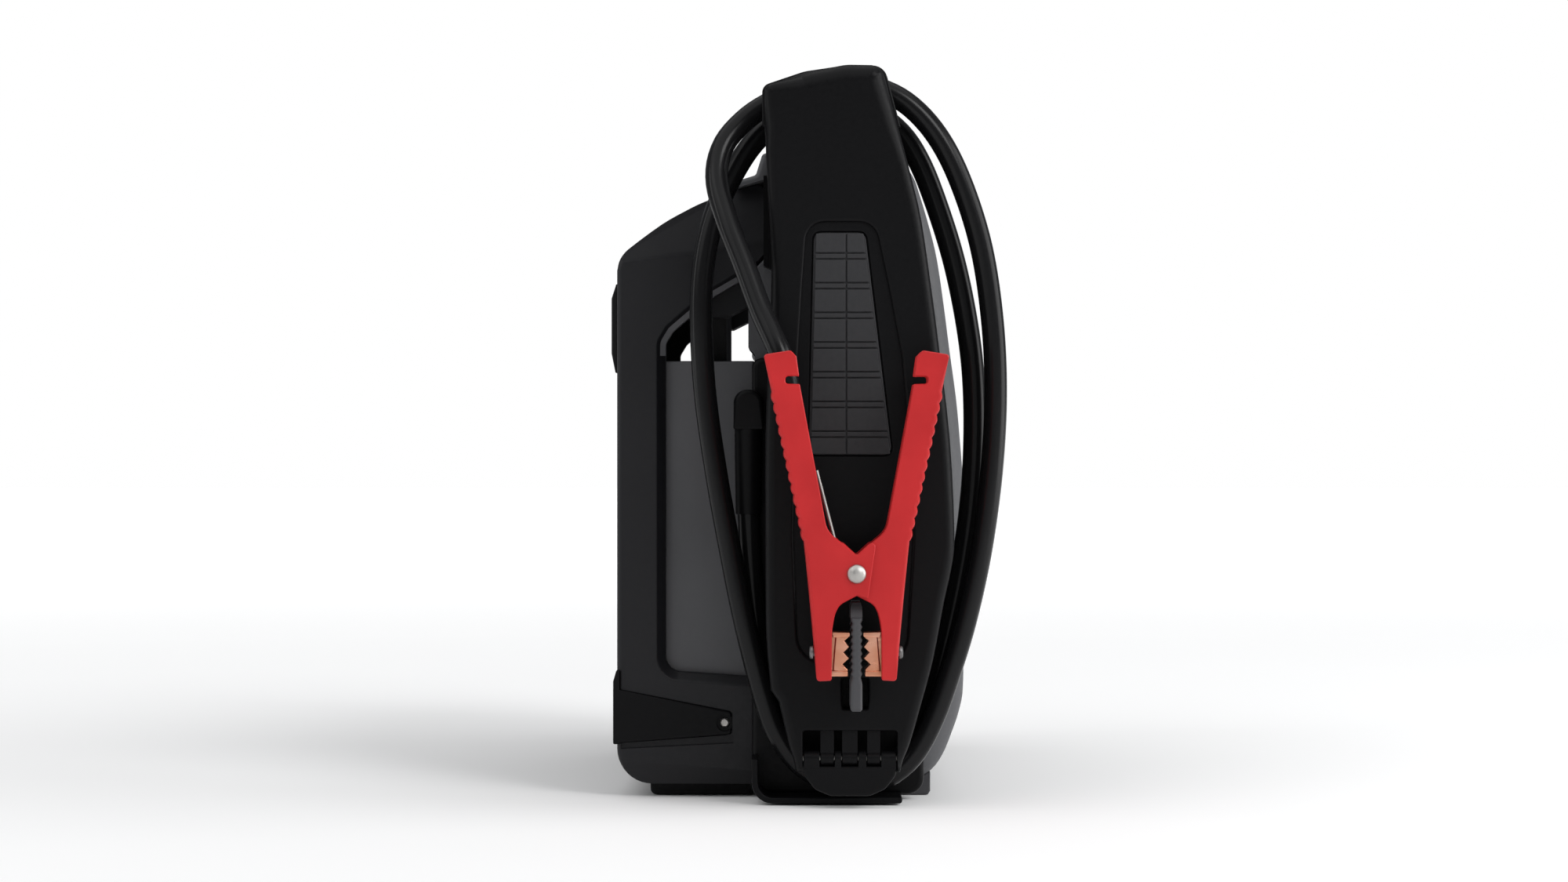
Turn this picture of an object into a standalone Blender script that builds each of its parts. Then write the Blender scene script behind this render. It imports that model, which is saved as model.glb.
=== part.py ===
"""Jump starter pack with end holsters, a wound positive cable and a parked clamp.

Frame: +Z up, Y along the pack's length, +X towards the control side.
The origin is at the middle of the footprint, on the surface that the pack stands on.
All sizes below are in millimetres; meshes are written in metres.
"""
import math

import bmesh
import bpy
from mathutils import Matrix, Vector

MM = 0.001

# ---------------------------------------------------------------- driving dimensions
HALF_LENGTH = 140.0        # body end faces at Y = -140 and +140
REAR_X = -92.0             # outer face of the rear shell
FRONT_X = 94.5             # widest point of the front shell
SEAM_X = -18.5             # parting plane of the two shells
BODY_BOTTOM = 7.0          # the feet lift the shells this far
TOP_Z = 345.0              # top of the front shell's towers
DECK_Z = 234.0             # floor of the hand space
RIDGE = (-13.3, 329.6)     # highest point of the rear shoulder
WALL = 3.0
GAP = 0.3                  # clearance between touching pieces
HAND_HALF = 78.0           # half length of the hand space between the towers

BASE_OUT = 12.0            # holster flange, measured outwards from the end face
GROOVE_OUT = 48.0          # inner face of the holster plate
PLATE_OUT = 60.0           # outer face of the holster plate
HOOD_OUT = 40.0            # rear rim of the hood over the windings

CABLE_D = 12.0
CABLE_POINTS = 79
GLAND_X = -21.3            # the cable comes down out of the outlet here
GUARD_SCREW = (-34.2, 0, 40)
LEAD_EXIT = (-24.8, 207.5) # inner leads pass the end panels at this X and Z
TURN_OUT = 19.5            # first turn's distance from the end face
TURN_PITCH = 12.8          # distance between the two turns

PIVOT = (34.4, 123.3)      # clamp rivet, X and Z
CLAMP_OUT = 85.0           # middle plane of the clamp
CLAMP_HALF = 13.0          # half width of the outer clamp arm
SHEET = 2.0                # clamp sheet thickness
POST_HALF = 3.0            # half thickness of the parking post
JAW_HALF = 8.2             # half width of the copper jaws

FLAP_AXIS = (55.5, 26.0)   # flap hinge: distance out from the end face, height
FLAP_RECESS = (7.2, 56.2)  # the flap sits between these two X values
FLAP_FINGERS = ((7.6, 15.9), (23.8, 27.2), (36.1, 40.2), (47.9, 55.8))
PLATE_FINGERS = ((16.3, 23.4), (27.6, 35.7), (40.6, 47.5))

PANEL_X = 93.2             # face of the control panel
PANEL_HALF = 62.0
PANEL_Z = (72.0, 160.0)
SOCKET_AT = (38.0, 101.0)  # Y and Z of the outlet's centre
SOCKET_R = 12.0
BUTTON_AT = (-8.0, 101.0)
SWITCH_AT = (-44.0, 103.0)
CHARGE_AT = (40.0, 140.0)
GAUGE_AT = (-18.0, 140.0)

BATTERY = (77.0, 181.0, 167.0)

CORNER_R = 15.0            # front shell's outer vertical corners
FOOT_R = 19.0              # rear shell's lower rear corner
RIM = 3.0                  # bevel round the rear shell's end faces


# ---------------------------------------------------------------- materials
def material(name, colour, roughness, metallic=0.0):
    mat = bpy.data.materials.get(name)
    if mat:
        return mat
    mat = bpy.data.materials.new(name)
    mat.use_nodes = True
    shader = mat.node_tree.nodes["Principled BSDF"]
    shader.inputs["Base Color"].default_value = (*colour, 1.0)
    shader.inputs["Roughness"].default_value = roughness
    shader.inputs["Metallic"].default_value = metallic
    mat.diffuse_color = (*colour, 1.0)
    return mat


FINISHES = {
    "black_plastic": ((0.022, 0.022, 0.025), 0.55, 0.0),
    "grey_plastic": ((0.075, 0.077, 0.082), 0.55, 0.0),
    "black_rubber": ((0.012, 0.012, 0.013), 0.75, 0.0),
    "grey_rubber": ((0.085, 0.085, 0.09), 0.7, 0.0),
    "red_plastic": ((0.56, 0.025, 0.028), 0.4, 0.0),
    "copper": ((0.57, 0.27, 0.2), 0.35, 1.0),
    "steel": ((0.38, 0.36, 0.33), 0.35, 1.0),
    "board_green": ((0.02, 0.12, 0.04), 0.5, 0.0),
    "clear_lens": ((0.35, 0.38, 0.4), 0.1, 0.0),
}


# ---------------------------------------------------------------- shape helpers
def finish(bm, name, finish_name, origin=(0.0, 0.0, 0.0)):
    """Turn a bmesh in millimetres into an object whose origin is at the given point."""
    bmesh.ops.recalc_face_normals(bm, faces=bm.faces)
    bmesh.ops.translate(bm, verts=bm.verts, vec=-Vector(origin))
    bmesh.ops.scale(bm, verts=bm.verts, vec=(MM, MM, MM))
    mesh = bpy.data.meshes.new(name)
    bm.to_mesh(mesh)
    bm.free()
    obj = bpy.data.objects.new(name, mesh)
    obj.location = Vector(origin) * MM
    bpy.context.scene.collection.objects.link(obj)
    if finish_name:
        mesh.materials.append(material(finish_name, *FINISHES[finish_name]))
    mesh.shade_smooth()
    mesh.set_sharp_from_angle(angle=math.radians(32))
    return obj


def rounded(points, radius, steps=3):
    """The outline with each corner replaced by an arc; radius may be one number or one per corner."""
    radii = radius if isinstance(radius, (list, tuple)) else [radius] * len(points)
    out = []
    for i, corner in enumerate(points):
        here = Vector(corner)
        before = Vector(points[i - 1]) - here
        after = Vector(points[(i + 1) % len(points)]) - here
        if radii[i] <= 0:
            out.append(tuple(here))
            continue
        half = before.angle(after) / 2
        reach = min(radii[i] / math.tan(half), before.length * 0.48, after.length * 0.48)
        start = here + before.normalized() * reach
        end = here + after.normalized() * reach
        middle = (before.normalized() + after.normalized()).normalized()
        centre = here + middle * (reach / math.cos(half))
        first = start - centre
        turn = first.angle_signed(end - centre)
        for k in range(steps + 1):
            spin = Matrix.Rotation(-turn * k / steps, 2)
            out.append(tuple(centre + spin @ first))
    return out


def prism(outline, axis, low, high):
    """A closed bmesh: the outline extruded along X, Y or Z from low to high."""
    place = {
        "X": lambda a, b, t: (t, a, b),
        "Y": lambda a, b, t: (a, t, b),
        "Z": lambda a, b, t: (a, b, t),
    }[axis]
    bm = bmesh.new()
    rings = [[bm.verts.new(place(a, b, t)) for a, b in outline] for t in (low, high)]
    count = len(outline)
    bm.faces.new(rings[0])
    bm.faces.new(rings[1])
    for i in range(count):
        j = (i + 1) % count
        bm.faces.new((rings[0][i], rings[0][j], rings[1][j], rings[1][i]))
    bmesh.ops.recalc_face_normals(bm, faces=bm.faces)
    return bm


def block(low, high, bevel=0.0, segments=2):
    """A box between two corners, with all edges rounded."""
    outline = [(low[0], low[2]), (high[0], low[2]), (high[0], high[2]), (low[0], high[2])]
    bm = prism(outline, "Y", low[1], high[1])
    if bevel:
        bmesh.ops.bevel(bm, geom=bm.edges[:], offset=bevel, segments=segments, profile=0.5,
                        affect="EDGES")
    return bm


def turned(profile, axis, centre, sides=20):
    """A solid of revolution; profile is (distance along the axis, radius), closed on the axis."""
    bm = bmesh.new()
    rings = []
    for along, radius in profile:
        ring = []
        for k in range(sides):
            angle = 2 * math.pi * k / sides
            a, b = radius * math.cos(angle), radius * math.sin(angle)
            spot = {"X": (along, a, b), "Y": (a, along, b), "Z": (a, b, along)}[axis]
            ring.append(bm.verts.new(Vector(spot) + Vector(centre)))
        rings.append(ring)
    for one, two in zip(rings, rings[1:]):
        for k in range(sides):
            m = (k + 1) % sides
            bm.faces.new((one[k], one[m], two[m], two[k]))
    bm.faces.new(rings[0])
    bm.faces.new(rings[-1])
    bmesh.ops.recalc_face_normals(bm, faces=bm.faces)
    return bm


def round_edges(bm, wanted, width, segments):
    """Bevel the edges for which wanted(first corner, second corner) is true."""
    edges = [e for e in bm.edges if wanted(e.verts[0].co, e.verts[1].co)]
    bmesh.ops.bevel(bm, geom=edges, offset=width, segments=segments, profile=0.5, affect="EDGES")


def tool(bm, name):
    """An operand for a Boolean: hidden from renders and left out of the model."""
    obj = finish(bm, name, None)
    obj.hide_render = True
    obj.display_type = "WIRE"
    return obj


def combine(obj, operation, *meshes):
    for i, bm in enumerate(meshes):
        operand = tool(bm, f"tool_{obj.name}_{operation.lower()}_{len(obj.modifiers)}")
        step = obj.modifiers.new(f"{operation.lower()}_{i}", "BOOLEAN")
        step.operation = operation
        step.solver = "EXACT"
        step.object = operand


def cut(obj, *meshes):
    combine(obj, "DIFFERENCE", *meshes)


def add(obj, *meshes):
    combine(obj, "UNION", *meshes)


def span(end, first, second):
    """Y values at one end of the pack, from two distances outwards of its end face."""
    values = (end * (HALF_LENGTH + first), end * (HALF_LENGTH + second))
    return min(values), max(values)


def end_prism(outline, end, first, second):
    low, high = span(end, first, second)
    return prism(outline, "Y", low, high)


def arm_point(dx, dz):
    return PIVOT[0] + dx, PIVOT[1] + dz


# ---------------------------------------------------------------- rear shell
def rear_outline():
    x0 = SEAM_X - GAP
    corner = rounded([(x0, BODY_BOTTOM), (REAR_X, BODY_BOTTOM), (REAR_X, 60.0)], [0, FOOT_R, 0], 5)
    shoulder = [(REAR_X, 282.5), (-90.9, 287), (-88.4, 291.2), (-84, 295.2), (-68.1, 307.1),
                (-55.9, 314.2), (-44.9, 319.6), (-29.1, 325.2), RIDGE]
    return [(x0, BODY_BOTTOM)] + corner[1:-1] + shoulder + [(RIDGE[0], 290), (x0, 284)]


def window_outline():
    """Opening in each end wall: the lower part holds the end panel, the upper part is open."""
    return [(-10, 58), (-50, 60.5)] + rounded(
        [(-50, 60.5), (-68.4, 62.5), (-68.4, 247)], [0, 12, 0], 4)[1:-1] + [
        (-68.4, 247), (-63.5, 253.5), (-39.5, 271), (-21, 281.3), (-10, 281.3)]


def guard_outline(margin):
    """Corner guard's share of the end face, or its recess when the margin is larger than zero."""
    return [(REAR_X - 2 - margin, 29 - margin), (-30.5 + margin, 33.8 - margin),
            (-30.5 + margin, 45.7 + margin), (REAR_X - 2 - margin, 58.3 + margin)]


def make_rear_shell():
    half = HALF_LENGTH
    bm = prism(rear_outline(), "Y", -half, half)

    def outer_rim(a, b):
        same_end = abs(a.y - b.y) < 0.1
        return same_end and min(a.x, b.x) < SEAM_X - 2

    round_edges(bm, outer_rim, RIM, 2)
    obj = finish(bm, "rear_shell", "black_plastic")
    lower = rounded([(5, BODY_BOTTOM + WALL), (REAR_X + WALL, BODY_BOTTOM + WALL),
                     (REAR_X + WALL, DECK_Z - WALL), (5, DECK_Z - WALL)], [0, 16, 0, 0], 3)
    tunnel = [(5, DECK_Z), (REAR_X + WALL, DECK_Z), (REAR_X + WALL, 281.5), (-87.6, 285.6),
              (-82, 291.1), (-66.4, 303.1), (-54.4, 310.6), (-43.7, 315.8), (-28.1, 321.3),
              (-13.3, 325.6), (5, 331)]
    inner = half - WALL
    cut(obj, prism(lower, "Y", -inner, inner), prism(tunnel, "Y", -inner, inner))
    sleeve = [(SEAM_X - GAP, 54.5), (-72, 56), (-72, 256), (-64, 264), (SEAM_X - GAP, 290)]
    for end in (-1, 1):
        add(obj, end_prism(sleeve, end, -13, -2))
    for end in (-1, 1):
        cut(obj, end_prism(window_outline(), end, -14.5, 10))
    finger = rounded([(-60, -76), (10, -76), (10, 76), (-60, 76)], [14, 0, 0, 14], 4)
    cut(obj, prism(finger, "Z", DECK_Z + 45, TOP_Z))
    for end in (-1, 1):
        rib = [(-45, DECK_Z - 1), (-34, DECK_Z - 1), (-34, 321), (-45, 317)]
        add(obj, end_prism(rib, end, -58, -54))
        cut(obj, end_prism(guard_outline(0.8), end, -1.8, 5))
        low, high = span(end, -42, 5)
        cut(obj, block((REAR_X - 5, low, 27.5), (REAR_X + 1.8, high, 69)))
    for y, z in screw_places():
        cut(obj, turned([(REAR_X - 1, 4.2), (REAR_X + 2, 4.2), (REAR_X + 2, 1.9), (REAR_X + 5, 1.9)],
                        "X", (0, y, z), 12))


def screw_places():
    return [(side * 84.0, z) for side in (-1, 1) for z in (92.0, 205.0)]


# ---------------------------------------------------------------- front shell
def front_outline():
    x0 = SEAM_X + GAP
    return [(x0, BODY_BOTTOM), (66, BODY_BOTTOM), (77, 14), (83.2, 22), (87.8, 34), (92.4, 47),
            (FRONT_X, 60), (FRONT_X, 140), (94, 167), (92.4, 192), (90.3, 214.5), (86.8, 240),
            (84, 262), (80.2, 288), (76.6, 305), (70.6, 324), (66.8, 334), (60, 342), (52, TOP_Z),
            (-10, TOP_Z), (-15, 343), (-18, 331.5), (-12.7, 330.4), (-12.7, 289), (x0, 283),
            (x0, 279), (-21.6, 275), (-21.6, 241), (x0, 237)]


def front_cavity(low_z, high_z, left):
    """The part of the inside between two heights, three millimetres in from the outer skin."""
    skin = [(60, 10), (75, 16.5), (80.5, 24), (89, 47.5), (FRONT_X - WALL, 61),
            (FRONT_X - WALL, 140), (91, 167), (87.2, 214.5), (81, 262), (73.6, 305),
            (64, 333), (52, TOP_Z - WALL)]
    inside = [p for p in skin if low_z < p[1] < high_z]
    bottom = skin[0][0] if low_z <= 10 else inside[0][0]
    top = inside[-1][0]
    return [(left, low_z), (bottom, low_z)] + inside + [(top, high_z), (left, high_z)]


def make_front_shell():
    half = HALF_LENGTH
    bm = prism(front_outline(), "Y", -half, half)

    def front_corner(a, b):
        return abs(a.y - b.y) < 0.1 and min(a.x, b.x) > 59.9 and min(a.z, b.z) > BODY_BOTTOM - 0.1

    round_edges(bm, front_corner, CORNER_R, 4)
    obj = finish(bm, "front_shell", "grey_plastic")
    inner = half - WALL

    def cavity_corner(a, b):
        return front_corner(a, b) and abs(a.y) > inner - 0.1 and a.x > 61 and b.x > 61

    lower = prism(front_cavity(10, DECK_Z, SEAM_X - 8), "Y", -inner, inner)
    round_edges(lower, cavity_corner, CORNER_R - 2, 4)
    cut(obj, lower)
    for end in (-1, 1):
        low, high = sorted((end * (HAND_HALF + WALL), end * inner))
        tower = prism(front_cavity(DECK_Z - 4, TOP_Z - WALL, -9), "Y", low, high)
        round_edges(tower, cavity_corner, CORNER_R - 2, 4)
        cut(obj, tower)
    hand = [(-30, DECK_Z + 3), (110, DECK_Z + 3), (110, TOP_Z + 5), (-30, TOP_Z + 5)]
    cut(obj, prism(hand, "Y", -HAND_HALF, HAND_HALF))
    cut(obj, block((86, -PANEL_HALF, PANEL_Z[0]), (110, PANEL_HALF, PANEL_Z[1])))


# ---------------------------------------------------------------- small case pieces
def make_end_panel(end, name):
    g = GAP
    x1 = SEAM_X - 2 * g
    outline = [(x1, 58.7 + g), (-50, 60.6 + g), (-57, 61.6 + g), (-64.2, 65.7), (-68.4 + g, 74),
               (-68.4 + g, DECK_Z - g), (x1, DECK_Z - g)]
    finish(end_prism(outline, end, -12.5, -9.5), "end_panel_" + name, "grey_plastic")


def make_foot(kind, end, name):
    if kind == "rear":
        outline = [(-74.5, 0), (-21, 0), (-21, BODY_BOTTOM - GAP), (-74.5, BODY_BOTTOM - GAP)]
    else:
        outline = [(56, 0), (75, 0), (76.4, 2), (76.4, 13), (66.2, BODY_BOTTOM - GAP - 0.1),
                   (56, BODY_BOTTOM - GAP)]
    finish(end_prism(outline, end, -44, -14), f"foot_{kind}_{name}", "black_rubber")


def make_guard(end, name):
    obj = finish(end_prism(guard_outline(0), end, -1.5, 2), "corner_guard_" + name, "black_plastic")
    rear = [(REAR_X - 2, 28.5), (REAR_X - 2, 62), (REAR_X - 0.4, 68), (REAR_X + 1.5, 68),
            (REAR_X + 1.5, 28.5)]
    add(obj, end_prism(rear, end, -41, 2))
    low, high = span(end, -3, 4)
    cut(obj, turned([(low, 2.9), (high, 2.9)], "Y", GUARD_SCREW, 12))
    head = [(-1.2, 1.0), (-1.2, 2.6), (0.6, 2.6), (1.6, 1.8)]
    profile = [(end * (HALF_LENGTH + a), r) for a, r in head]
    finish(turned(profile, "Y", GUARD_SCREW, 12), "guard_screw_" + name, "steel")


def make_rear_pad(end, name):
    outline = [(REAR_X - GAP, 227.5), (REAR_X - 1.4, 227.5), (REAR_X - 3.5, 238), (REAR_X - 3.5, 267.5),
               (REAR_X - 1.0, 275.3), (REAR_X - GAP, 275.3)]
    finish(end_prism(outline, end, -50, -12), "rear_pad_" + name, "black_rubber")


def make_screws():
    for i, (y, z) in enumerate(screw_places(), 1):
        profile = [(REAR_X + 0.3, 2.4), (REAR_X + 0.7, 3.6), (REAR_X + 1.7, 3.6), (REAR_X + 1.7, 1.5),
                   (REAR_X + 14, 1.5)]
        finish(turned(profile, "X", (0, y, z), 12), f"case_screw_{i}", "steel")


def make_handle():
    bar = rounded([(0, 309), (32, 309), (32, 333), (0, 333)], 11, 3)
    reach = HAND_HALF - GAP
    finish(prism(bar, "Y", -reach, reach), "handle_bar", "black_plastic")
    grip_half = 58.0
    outer = rounded([(-3.5, 305.5), (35.5, 305.5), (35.5, 336.5), (-3.5, 336.5)], 14, 3)
    bore = rounded([(-0.3, 308.7), (32.3, 308.7), (32.3, 333.3), (-0.3, 333.3)], 11.2, 3)
    obj = finish(prism(outer, "Y", -grip_half, grip_half), "handle_grip", "grey_rubber")
    cut(obj, prism(bore, "Y", -grip_half - 2, grip_half + 2))


# ---------------------------------------------------------------- holsters
def plate_outline():
    return [(2.8, 24), (3.6, 19), (57.6, 19), (59.2, 24.5), (62.9, 33.7), (68.2, 52), (75.1, 77.6), (80.8, 107.7), (85, 125),
            (86.1, 142.6), (83.7, 191.8), (78.4, 237), (74.1, 270), (69, 305), (64, 326.7),
            (57.2, 352.7), (50.3, 378), (42.2, 384), (30, 386.9), (9.7, 384.5), (-9, 377.5),
            (-12.5, 373.5), (-12.5, 354), (-9, 278.8), (-12.2, 191.8), (-11.8, 90), (-9.4, 61.4),
            (-5.3, 56.9), (0, 33)]


def hood_outline():
    """Rim of the hood over the windings, a little wider than the plate."""
    outer = [(58.2, 354.5), (51.6, 379.5), (49.5, 382), (43.5, 385.3), (30.2, 386.9), (9.4, 385.4),
             (-9.2, 379.4), (-13.8, 375), (-14, 355)]
    inner = [(-10.8, 355), (-10.6, 372.2), (-7.8, 375.6), (9.9, 382), (29.9, 383.6), (41.5, 381.9),
             (46.8, 378.8), (48.4, 376.6), (54.9, 354.5)]
    return outer + inner


def tray_outline():
    """Lip at the foot of the holster, under the windings."""
    return [(-19.5, 10.5), (-19.5, 9), (-17.5, 5), (-13, 1.9), (-7, 0.7), (56, 0.7), (59.5, 1.6),
            (59.5, 3.9), (-6, 3.9), (-11.5, 5), (-15, 8), (-16.2, 10.5)]


def pocket_outline():
    corners = [(8.5, 304.8), (44, 304.8), (58, 235), (64.5, 140), (60, 78), (6, 78), (2.4, 140), (4.5, 235)]
    return rounded(corners, [9, 9, 0, 0, 12, 12, 0, 0], 3)


def grip_pad_outline(margin):
    m = margin
    corners = [(10.3 - m, 183.7 - m), (53.6 + m, 183.7 - m), (39.6 + m, 298.9 + m), (13 - m, 298.9 + m)]
    return rounded(corners, 4, 2)


def make_holster(end, name):
    obj = finish(end_prism(plate_outline(), end, GROOVE_OUT, PLATE_OUT), "holster_" + name,
                 "black_plastic")
    base = rounded([(-19.5, 2.6), (72, 2.6), (72, 235), (-19.5, 235)], [6, 6, 4, 4], 2)
    stalk = rounded([(-2, 42), (64, 42), (60, 250), (44, 344), (0, 344)], [14, 14, 0, 12, 12], 3)
    add(obj, end_prism(stalk, end, GAP, GROOVE_OUT + 1))
    add(obj, end_prism(base, end, GAP, BASE_OUT))
    add(obj, end_prism(tray_outline(), end, BASE_OUT - 1, HOOD_OUT))
    add(obj, end_prism(hood_outline(), end, HOOD_OUT, GROOVE_OUT + 1))
    cut(obj, end_prism(pocket_outline(), end, PLATE_OUT - 1.6, PLATE_OUT + 3))
    cut(obj, end_prism(grip_pad_outline(GAP), end, PLATE_OUT - 4, PLATE_OUT + 3))
    slot = [(27.5, 51.6), (41.3, 51.6), (41.3, 68), (27.5, 68)]
    cut(obj, end_prism(slot, end, GROOVE_OUT - 4, PLATE_OUT + 3))
    left, right = FLAP_RECESS
    recess = [(left, 15), (right, 15), (right, 40.6), (left, 40.6)]
    cut(obj, end_prism(recess, end, GROOVE_OUT - 3, PLATE_OUT + 3))
    for low, high in PLATE_FINGERS:
        near, far = span(end, FLAP_AXIS[0] - 3.6, FLAP_AXIS[0] + 2.1)
        add(obj, block((low, near, FLAP_AXIS[1]), (high, far, 44)))
        add(obj, turned([(low, 3.6), (high, 3.6)], "X", flap_centre(end), 14))
    cut(obj, turned([(4.6, 1.8), (57.4, 1.8)], "X", flap_centre(end), 10))


def flap_centre(end):
    return (0.0, end * (HALF_LENGTH + FLAP_AXIS[0]), FLAP_AXIS[1])


def make_flap(end, name):
    """The cable retainer: an apron that hangs from four fingers on a pin."""
    apron = rounded([(7.6, 21.9), (55.8, 21.9), (55.8, 17.5), (50, 10), (42, 6.5), (21.5, 6.5),
                     (13.4, 10), (7.6, 17.5)], [0.5, 0.5, 4, 4, 6, 6, 4, 4], 2)
    inner, outer = FLAP_AXIS[0] - 4.5, FLAP_AXIS[0] + 3.5
    obj = finish(end_prism(apron, end, inner, outer), "cable_flap_" + name, "black_plastic",
                 flap_centre(end))
    for low, high in FLAP_FINGERS:
        near, far = span(end, FLAP_AXIS[0] - 3.8, outer)
        add(obj, turned([(low, 3.8), (high, 3.8)], "X", flap_centre(end), 14))
        add(obj, block((low, near, 20), (high, far, FLAP_AXIS[1])))
    cut(obj, turned([(0, 1.8), (60, 1.8)], "X", flap_centre(end), 10))
    finish(turned([(4.9, 1.5), (57.1, 1.5)], "X", flap_centre(end), 10), "flap_pin_" + name, "steel")


def make_grip_pad(end, name):
    """Ribbed rubber insert behind the clamp."""
    obj = finish(end_prism(grip_pad_outline(0), end, PLATE_OUT - 3.7, PLATE_OUT + 0.6),
                 "grip_pad_" + name, "grey_rubber")
    for k in range(7):
        z = 285.0 - k * 15.3
        groove = [(-5, z - 1.4), (70, z - 1.4), (70, z + 1.4), (-5, z + 1.4)]
        cut(obj, end_prism(groove, end, PLATE_OUT - 0.6, PLATE_OUT + 4))


def make_post(end, name):
    """Parking post that the clamp's jaws close on."""
    x0, x1 = PIVOT[0] - POST_HALF, PIVOT[0] + POST_HALF
    side = [(GROOVE_OUT - 2, 53), (92, 53), (94, 60), (94, 100), (88, 108.5),
            (PLATE_OUT + GAP, 108.5), (PLATE_OUT + GAP, 67), (GROOVE_OUT - 2, 67)]
    outline = [(end * (HALF_LENGTH + out), z) for out, z in side]
    finish(prism(outline, "X", x0, x1), "clamp_post_" + name, "grey_plastic")


def make_gland(end, name):
    """Hooded cable outlet: a stem on the end panel and a head with a sleeve that points down."""
    low, high = span(end, BASE_OUT + 0.8, TURN_OUT + 7.6)
    arch = rounded([(-29.2, 197), (-13.4, 197), (-13.4, 218), (-29.2, 218)], [0, 0, 7, 7], 4)
    obj = finish(prism(arch, "Y", low, high), "cable_gland_" + name, "black_plastic")
    low, high = span(end, -9.2, BASE_OUT + 2)
    add(obj, turned([(low, 4.0), (high, 4.0)], "Y", (LEAD_EXIT[0], 0, LEAD_EXIT[1]), 14))
    centre = (GLAND_X, end * (HALF_LENGTH + TURN_OUT), 0)
    add(obj, turned([(160, 6.8), (162, 7.0), (198, 7.3)], "Z", centre, 16))
    bore = CABLE_D / 2 + GAP
    cut(obj, turned([(150, bore), (192, bore)], "Z", centre, 16))


# ---------------------------------------------------------------- controls
def make_panel():
    g = GAP
    obj = finish(block((89.4, -PANEL_HALF + g, PANEL_Z[0] + g), (PANEL_X, PANEL_HALF - g, PANEL_Z[1] - g)),
                 "control_panel", "black_plastic")
    y, z = SOCKET_AT
    cut(obj, turned([(80, SOCKET_R + g), (110, SOCKET_R + g)], "X", (0, y, z), 24))
    y, z = BUTTON_AT
    cut(obj, turned([(80, 7.5), (110, 7.5)], "X", (0, y, z), 20))
    y, z = SWITCH_AT
    cut(obj, block((80, y - 7.8, z - 11.4), (110, y + 7.8, z + 11.4)))
    y, z = GAUGE_AT
    cut(obj, block((80, y - 30 - g, z - 6 - g), (110, y + 30 + g, z + 6 + g)))
    y, z = CHARGE_AT
    cut(obj, block((80, y - 9, z - 6), (110, y + 9, z + 6)))


def make_controls():
    y, z = GAUGE_AT
    finish(block((90, y - 30, z - 6), (PANEL_X + 0.4, y + 30, z + 6)), "gauge_lens", "clear_lens")
    y, z = BUTTON_AT
    button = turned([(89.8, 7.1), (94.4, 7.1), (95.2, 6.3)], "X", (0, y, z), 20)
    finish(button, "test_button", "red_plastic", (92, y, z))
    y, z = SWITCH_AT
    outline = [(z - 10.4, 90), (z + 10.4, 90), (z + 10.4, 95.2), (z, 93.6), (z - 10.4, 93.4)]
    rocker = prism([(x, zz) for zz, x in outline], "Y", y - 7.2, y + 7.2)
    finish(rocker, "power_switch", "black_plastic", (91.5, y, z))


def make_outlet():
    y, z = SOCKET_AT
    sleeve = finish(turned([(63, SOCKET_R), (PANEL_X - 0.1, SOCKET_R)], "X", (0, y, z), 24),
                    "dc_socket", "steel")
    cut(sleeve, turned([(66, SOCKET_R - 1.5), (110, SOCKET_R - 1.5)], "X", (0, y, z), 24))
    top = z + SOCKET_R + 4
    lid = rounded([(y - 14, z - 14), (y + 14, z - 14), (y + 14, top), (y - 14, top)], [12, 12, 3, 3], 4)
    finish(prism(lid, "X", PANEL_X + GAP, 95.5), "dc_socket_cap", "black_rubber", (95.5, y, top))
    y, z = CHARGE_AT
    port = finish(block((84, y - 8.7, z - 5.7), (PANEL_X - 0.1, y + 8.7, z + 5.7)), "charge_port",
                  "black_plastic")
    cut(port, block((86, y - 7.2, z - 4.2), (110, y + 7.2, z + 4.2)))
    lid = rounded([(y - 12, z - 8.5), (y + 12, z - 8.5), (y + 12, z + 9.5), (y - 12, z + 9.5)], 2.5, 2)
    finish(prism(lid, "X", PANEL_X + GAP, 95.5), "charge_port_cover", "black_rubber",
           (95.5, y, z + 9.5))


# ---------------------------------------------------------------- inside
def make_battery():
    x0, x1 = -60.0, -60.0 + BATTERY[0]
    half, top = BATTERY[1] / 2, 12 + BATTERY[2]
    obj = finish(block((x0, -half, 12), (x1, half, top), 2.0, 1), "battery", "grey_plastic")
    for side in (-1, 1):
        add(obj, turned([(top - 1, 6), (top + 7, 6)], "Z", (-25, side * 74, 0), 12))
    band, thick = 12.5, 1.5
    strap = finish(block((x0 - 0.5 - thick, -band, 12), (x1 + 0.5 + thick, band, top + 0.5 + thick)),
                   "battery_strap", "steel")
    cut(strap, block((x0 - 0.5, -band - 5, 5), (x1 + 0.5, band + 5, top + 0.5)))


def make_electrics():
    finish(block((80, -66, 78), (81.6, 22, 154)), "control_board", "board_green")
    finish(block((-44, -62, 181), (-16, -34, 197), 1.5, 1), "main_fuse", "black_plastic")
    for end, name in ((-1, "positive_lead"), (1, "negative_lead")):
        x, z = LEAD_EXIT
        route = [(-25, end * 74, 187.2), (-25, end * 76, 196), (-25, end * 93, 206), (x, end * 110, z),
                 (x, end * 126.8, z)]
        tube(name, smooth_path(route, 10), 4.0, "black_rubber")


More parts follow.
